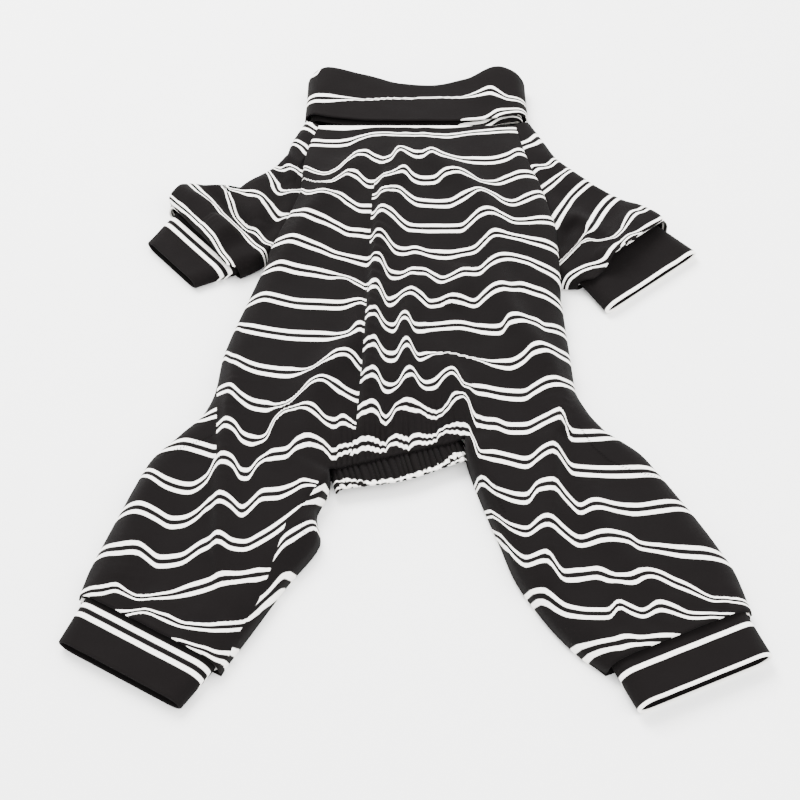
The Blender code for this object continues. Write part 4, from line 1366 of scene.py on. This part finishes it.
@dataclass
class ElasticHem:
    """The gathered band round the rear opening, drawn in by its elastic, which brings its stripes closer."""

    table: SewingTable
    columns: int = 340
    rows: int = 20
    pucker: float = 0.0011
    bulge: float = 0.0035
    gather: float = 1.4
    line_at: tuple = ((0.0, 0.0085), (0.12, 0.0095), (0.26, 0.0130), (0.75, 0.0130), (0.88, 0.0100),
                      (1.0, 0.0085))

    def build(self) -> bpy.types.Object:
        """Make the hem."""
        left, right = SIZES.plan(*HEM_LEFT), SIZES.plan(*HEM_RIGHT)
        width = np.linalg.norm(right - left)
        along = (right - left) / width
        axis = np.array([along[1], -along[0]])
        inset = 3 * SIZES.seam_gap
        left, right = left + along * inset, right - along * inset
        shares = np.linspace(0, 1, self.columns)
        base = left + np.outer(shares, right - left)
        line = shape(self.line_at, shares)
        bow = self.bulge * np.sin(pi * shares) ** 2
        rings, counts, places = [], [], []
        for share in np.linspace(0, 1, self.rows):
            rise = SIZES.hem_depth - SIZES.wall - SIZES.seam_gap - 0.1 * SIZES.hem_depth * share
            seam = 0.4 * SIZES.hem_depth
            at = share * (SIZES.hem_length + SIZES.lap) - SIZES.lap
            wave = gather_wave(base[:, 0], np.full(len(base), 1.0 + 0.12 * share))
            ease = smooth_step(share / 0.3)
            shift = (bow * share + 0.45 * self.pucker * wave * ease)[:, None] * axis
            top = base + axis * at + shift
            bottom = base + axis * (3 * SIZES.seam_gap + 0.4 * share * SIZES.hem_length) + 0.6 * shift
            roll = roll_over(width * np.minimum(shares, 1 - shares), SIZES.tube_roll / 2)
            top = np.column_stack([top, seam + (rise + self.pucker * wave * ease - seam) * roll])
            bottom = np.column_stack([bottom, seam - (seam - SIZES.wall / 2) * roll])
            loop = ring(top, bottom, seam)
            rings.append(loop)
            middle = np.concatenate([line[:1], line[1:-1], line[-1:], line[1:-1][::-1]])
            jitter = noise_field(loop, 0.0022, 17.0) * 0.0020
            counts.append(np.maximum((at - middle + jitter) * self.gather / StripeField.pitch, -0.7))
            places.append(loop[:, :2])
        piece = self.table.sew("elastic_hem_jersey", [np.array(rings)], [plain_stripes(np.array(counts))],
                               [np.array(places)], SIZES.wall, closed=True)
        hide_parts("elastic_hem")
        return piece


@dataclass
class OverlockSeam:
    """A row of slanting stitches of black thread over a seam, laid on the cloth."""

    name: str
    path: tuple
    thread: bpy.types.Material
    cloth: BVHTree
    seat: Vector
    pitch: float = 0.0017
    bight: float = 0.0013
    radius: float = 0.00017
    sides: int = 5

    def stitch(self, middle: Grid, heading: Grid) -> Grid:
        """Rings of points round one stitch, which arches over the seam.

        Args:
            middle: Plan point on the seam.
            heading: Unit direction of the seam.

        Returns:
            Points in an array of rings, sides and three coordinates.
        """
        across = np.array([-heading[1], heading[0]])
        slant = across * self.bight / 2 + heading * self.pitch * 0.35
        angle = np.linspace(0, 2 * pi, self.sides, endpoint=False)
        rings = []
        for share, girth, rise in ((-1.0, 0.35, -0.3), (-0.75, 1.0, 0.3), (0.0, 1.0, 0.7), (0.75, 1.0, 0.3),
                                   (1.0, 0.35, -0.3)):
            place = middle + slant * share
            hit = self.cloth.ray_cast(Vector((*place, 0.1)), Vector((0.0, 0.0, -1.0)))[0]
            level = (hit.z if hit else SIZES.seam_height) + SIZES.wall / 2 + rise * self.radius
            along = np.append(slant / np.linalg.norm(slant), 0.0)
            side = np.array([-along[1], along[0], 0.0])
            circle = np.outer(np.cos(angle), side) + np.outer(np.sin(angle), [0.0, 0.0, 1.0])
            rings.append(np.append(place, level) + girth * self.radius * circle)
        return np.array(rings)

    def build(self) -> bpy.types.Object:
        """Make the row of stitches."""
        knots = np.array([VIEW.land(*mark, self.cloth) for mark in self.path])
        length = np.hypot(*np.diff(knots, axis=0).T).sum()
        count = max(2, round(length / self.pitch))
        line = along_path(knots, np.linspace(0, 1, count))
        heading = np.gradient(line, axis=0)
        heading /= np.linalg.norm(heading, axis=1)[:, None]
        points, faces = [], []
        for place, way in zip(line, heading):
            rings = self.stitch(place, way)
            start = len(points)
            points += (rings.reshape(-1, 3) + np.array(self.seat)).tolist()
            faces += grid_faces(len(rings), self.sides, start, closed=True)[:, ::-1].tolist()
            faces.append(list(range(start, start + self.sides)))
            faces.append(list(range(len(points) - self.sides, len(points)))[::-1])
        mesh = bpy.data.meshes.new(self.name)
        mesh.from_pydata(points, [], faces)
        mesh.shade_smooth()
        mesh.materials.append(self.thread)
        piece = add_object(self.name, mesh)
        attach(piece, "root")
        return piece


# Pairs of stripes on the sleeves and the collar, as they show in the view
LEFT_SLEEVE_STRIPES = (
    ((288, 123), (300, 125.5), (308, 127), (315, 131)),
    ((278, 150), (287, 145.6), (297, 143.5), (303, 147), (307, 152)),
    ((278, 170), (284, 168), (289, 167.5), (296, 169.5), (303, 174)),
    ((255, 166), (263, 170), (270, 175.5), (274.5, 184), (278, 191.5), (286, 193), (292, 189.5),
     (300, 190)),
    ((230, 190), (239.6, 191.5), (255, 194), (262, 197), (270, 207.5), (277.4, 217), (284, 218),
     (292, 214)),
    ((218, 178), (224.5, 186), (231, 202), (239, 221.5), (247, 229), (257, 233), (266, 243), (273, 253)),
    ((175, 178), (182, 183.5), (198, 191), (208, 199), (222, 214), (236, 227), (252, 243), (266, 262)),
    ((160, 196, 0.45), (172, 206, 0.45), (197, 221, 0.45), (214, 239, 0.45), (226, 258, 0.45),
     (238, 280, 0.45)),
)
RIGHT_SLEEVE_STRIPES = (
    ((512, 126), (518, 121), (526, 116)),
    ((520, 147), (527, 144.5), (534, 141.5), (543, 139)),
    ((536, 167), (543, 167), (550, 165.5), (561, 162)),
    ((538, 195), (543, 190), (551, 184), (559.6, 177), (569.5, 170.3), (578, 166)),
    ((552, 226), (557.5, 218), (564, 208), (571.5, 197.5), (580, 189), (589, 183), (597, 179)),
    ((560, 262, 0.0), (574, 248, 0.0), (586, 233, 0.4), (591, 227), (596, 219), (601.6, 210.6),
     (608, 203), (615.6, 197.7), (624, 192)),
    ((552, 263), (558, 258.5), (568, 250), (578, 244.5), (586, 240.5), (593, 239), (601, 241),
     (608.6, 242), (615, 238), (620.5, 232.4), (627, 222), (634, 213), (642, 211)),
    ((568, 278), (577, 272), (592, 266), (610, 259), (625, 253), (637, 247.5), (652, 238), (660, 233)),
)
COLLAR_STRIPES = (
    ((300, 70), (317, 72.5), (330, 66.5), (347, 63), (360, 58), (500, 54), (530, 60)),
    ((302, 103), (312, 100), (326, 98.6), (341, 99, 0.6), (361, 100, 0.15), (400, 99, 0.12),
     (440, 98, 0.12), (460, 98, 0.2), (478, 94, 0.7), (490, 90.3), (499, 94), (508, 98.5), (523, 103.2),
     (535, 108)),
    ((300, 136, 0.3), (318, 139, 0.3), (341, 140, 0.3), (402, 140, 0.3), (440, 136, 0.3), (463, 126.2),
     (483, 125.4), (500, 124), (530, 121)),
)
# How far the first pair lies from a cuff's seam, and the first and last count of pairs that show
CUFF_STRIPES = {
    "left_front": (0.0062, -1.0, 0.78), "right_front": (0.0040, 0.22, 2.0),
    "left_hind": (0.0064, -1.0, 0.78), "right_hind": (0.0042, 0.0, 2.0),
}

# Overlocked seams that show, as places in the view
SEAMS = {
    "right_leg_outer_seam": ((579.3, 426.4), (593.6, 447.9), (607.9, 460.4), (625.7, 468.6), (645.4, 474.6),
                             (661.4, 480), (672, 487)),
    "left_leg_outer_seam": ((165, 455), (177.5, 449.6), (190, 445), (203, 440), (215, 434)),
    "left_leg_inner_seam": ((300.7, 524), (303.5, 531), (306, 538)),
    "right_leg_inner_seam": ((495.4, 483.6), (497, 497.9), (504.3, 512)),
}


@dataclass(frozen=True)
class Studio:
    """A pale floor, soft lights and the camera."""

    floor_size: float = 6.0
    floor_colour: str = "#FBFBFA"
    floor_grain: str = "#F8F8F7"
    key_power: float = 70.0
    key_size: float = 0.9
    key_place: tuple = (-0.5, 0.8, 1.3)
    fill_power: float = 26.0
    fill_size: float = 1.2
    fill_place: tuple = (0.9, -0.6, 1.2)
    sky: float = 3.0

    def floor(self) -> bpy.types.Object:
        """Make the floor, a matt paper sweep with a faint grain."""
        half = self.floor_size / 2
        mesh = bpy.data.meshes.new("studio_floor")
        mesh.from_pydata([(-half, -half, 0), (half, -half, 0), (half, half, 0), (-half, half, 0)], [],
                         [(0, 1, 2, 3)])
        nodes = NodeTree("matt_white_paper")
        grain = nodes.add("ShaderNodeTexNoise", {"Scale": 300.0, "Detail": 4.0}).outputs[0]
        colour = nodes.blend(grain, linear(self.floor_colour), linear(self.floor_grain))
        nodes.surface(colour, roughness=0.9, specular=0.1)
        mesh.materials.append(nodes.material)
        floor = add_object("studio_floor", mesh)
        return floor

    def light(self, name: str, power: float, size: float, place: tuple) -> None:
        """Add one soft box that points at the suit.

        Args:
            name: Its name.
            power: Watts.
            size: Side of the square box in metres.
            place: Where it hangs.
        """
        lamp = bpy.data.lights.new(name, "AREA")
        lamp.energy = power
        lamp.size = size
        box = add_object(name, lamp)
        box.location = place
        box.rotation_mode = "QUATERNION"
        box.rotation_quaternion = (-Vector(place)).to_track_quat("-Z", "Y")

    def build(self, seat: Vector) -> None:
        """Set up the whole studio.

        Args:
            seat: Shift from the drawing frame to the seated suit.
        """
        self.floor()
        self.light("key_softbox", self.key_power, self.key_size, self.key_place)
        self.light("fill_softbox", self.fill_power, self.fill_size, self.fill_place)
        world = bpy.data.worlds.new("studio_air")
        world.use_nodes = True
        back = world.node_tree.nodes["Background"]
        back.inputs["Color"].default_value = (1.0, 1.0, 1.0, 1.0)
        back.inputs["Strength"].default_value = self.sky
        bpy.context.scene.world = world
        VIEW.make_camera(seat)


def find_seat() -> Vector:
    """Shift from the drawing frame to the seated suit, from where its solids lie.

    Returns:
        The shift in metres.
    """
    low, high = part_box("collar")
    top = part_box("belly_panel")[1]
    return Vector(((low.x + high.x) / 2 - SIZES.collar_centre * SIZES.hip_width, top.y, 0.0))


def main() -> None:
    """Build the suit in its studio."""
    logging.basicConfig(level=logging.INFO, format="%(name)s: %(message)s")
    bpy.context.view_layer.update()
    seat = find_seat()
    table = SewingTable(seat, StripedJersey().build())
    panels = BodyPanels(table)
    made = panels.build()
    made.append(Sleeve(table, SLEEVES[0], panels, LEFT_SLEEVE_STRIPES, -50.0).build())
    made.append(Sleeve(table, SLEEVES[1], panels, RIGHT_SLEEVE_STRIPES, 50.0).build())
    front = (0.0, SIZES.body_length, SIZES.front_cuff_width, SIZES.front_cuff_depth)
    hind = (1.0, SIZES.leg_length, SIZES.hind_cuff_width, SIZES.cuff_depth)
    for limbs, sizes in ((SLEEVES, front), (HIND_LEGS, hind)):
        for limb in limbs:
            made.append(Cuff(table, limb, *sizes, CUFF_STRIPES[limb.name]).build())
    made.append(Collar(table, COLLAR_STRIPES, panels).build())
    made.append(ElasticHem(table).build())
    thread = SewingThread().build()
    for name, path in SEAMS.items():
        made.append(OverlockSeam(name, path, thread, panels.top_tree, seat).build())
    Studio().build(seat)
    for piece in made:
        LOG.info("%s: %d faces", piece.name, len(piece.data.polygons))


if __name__ == "__main__":
    main()
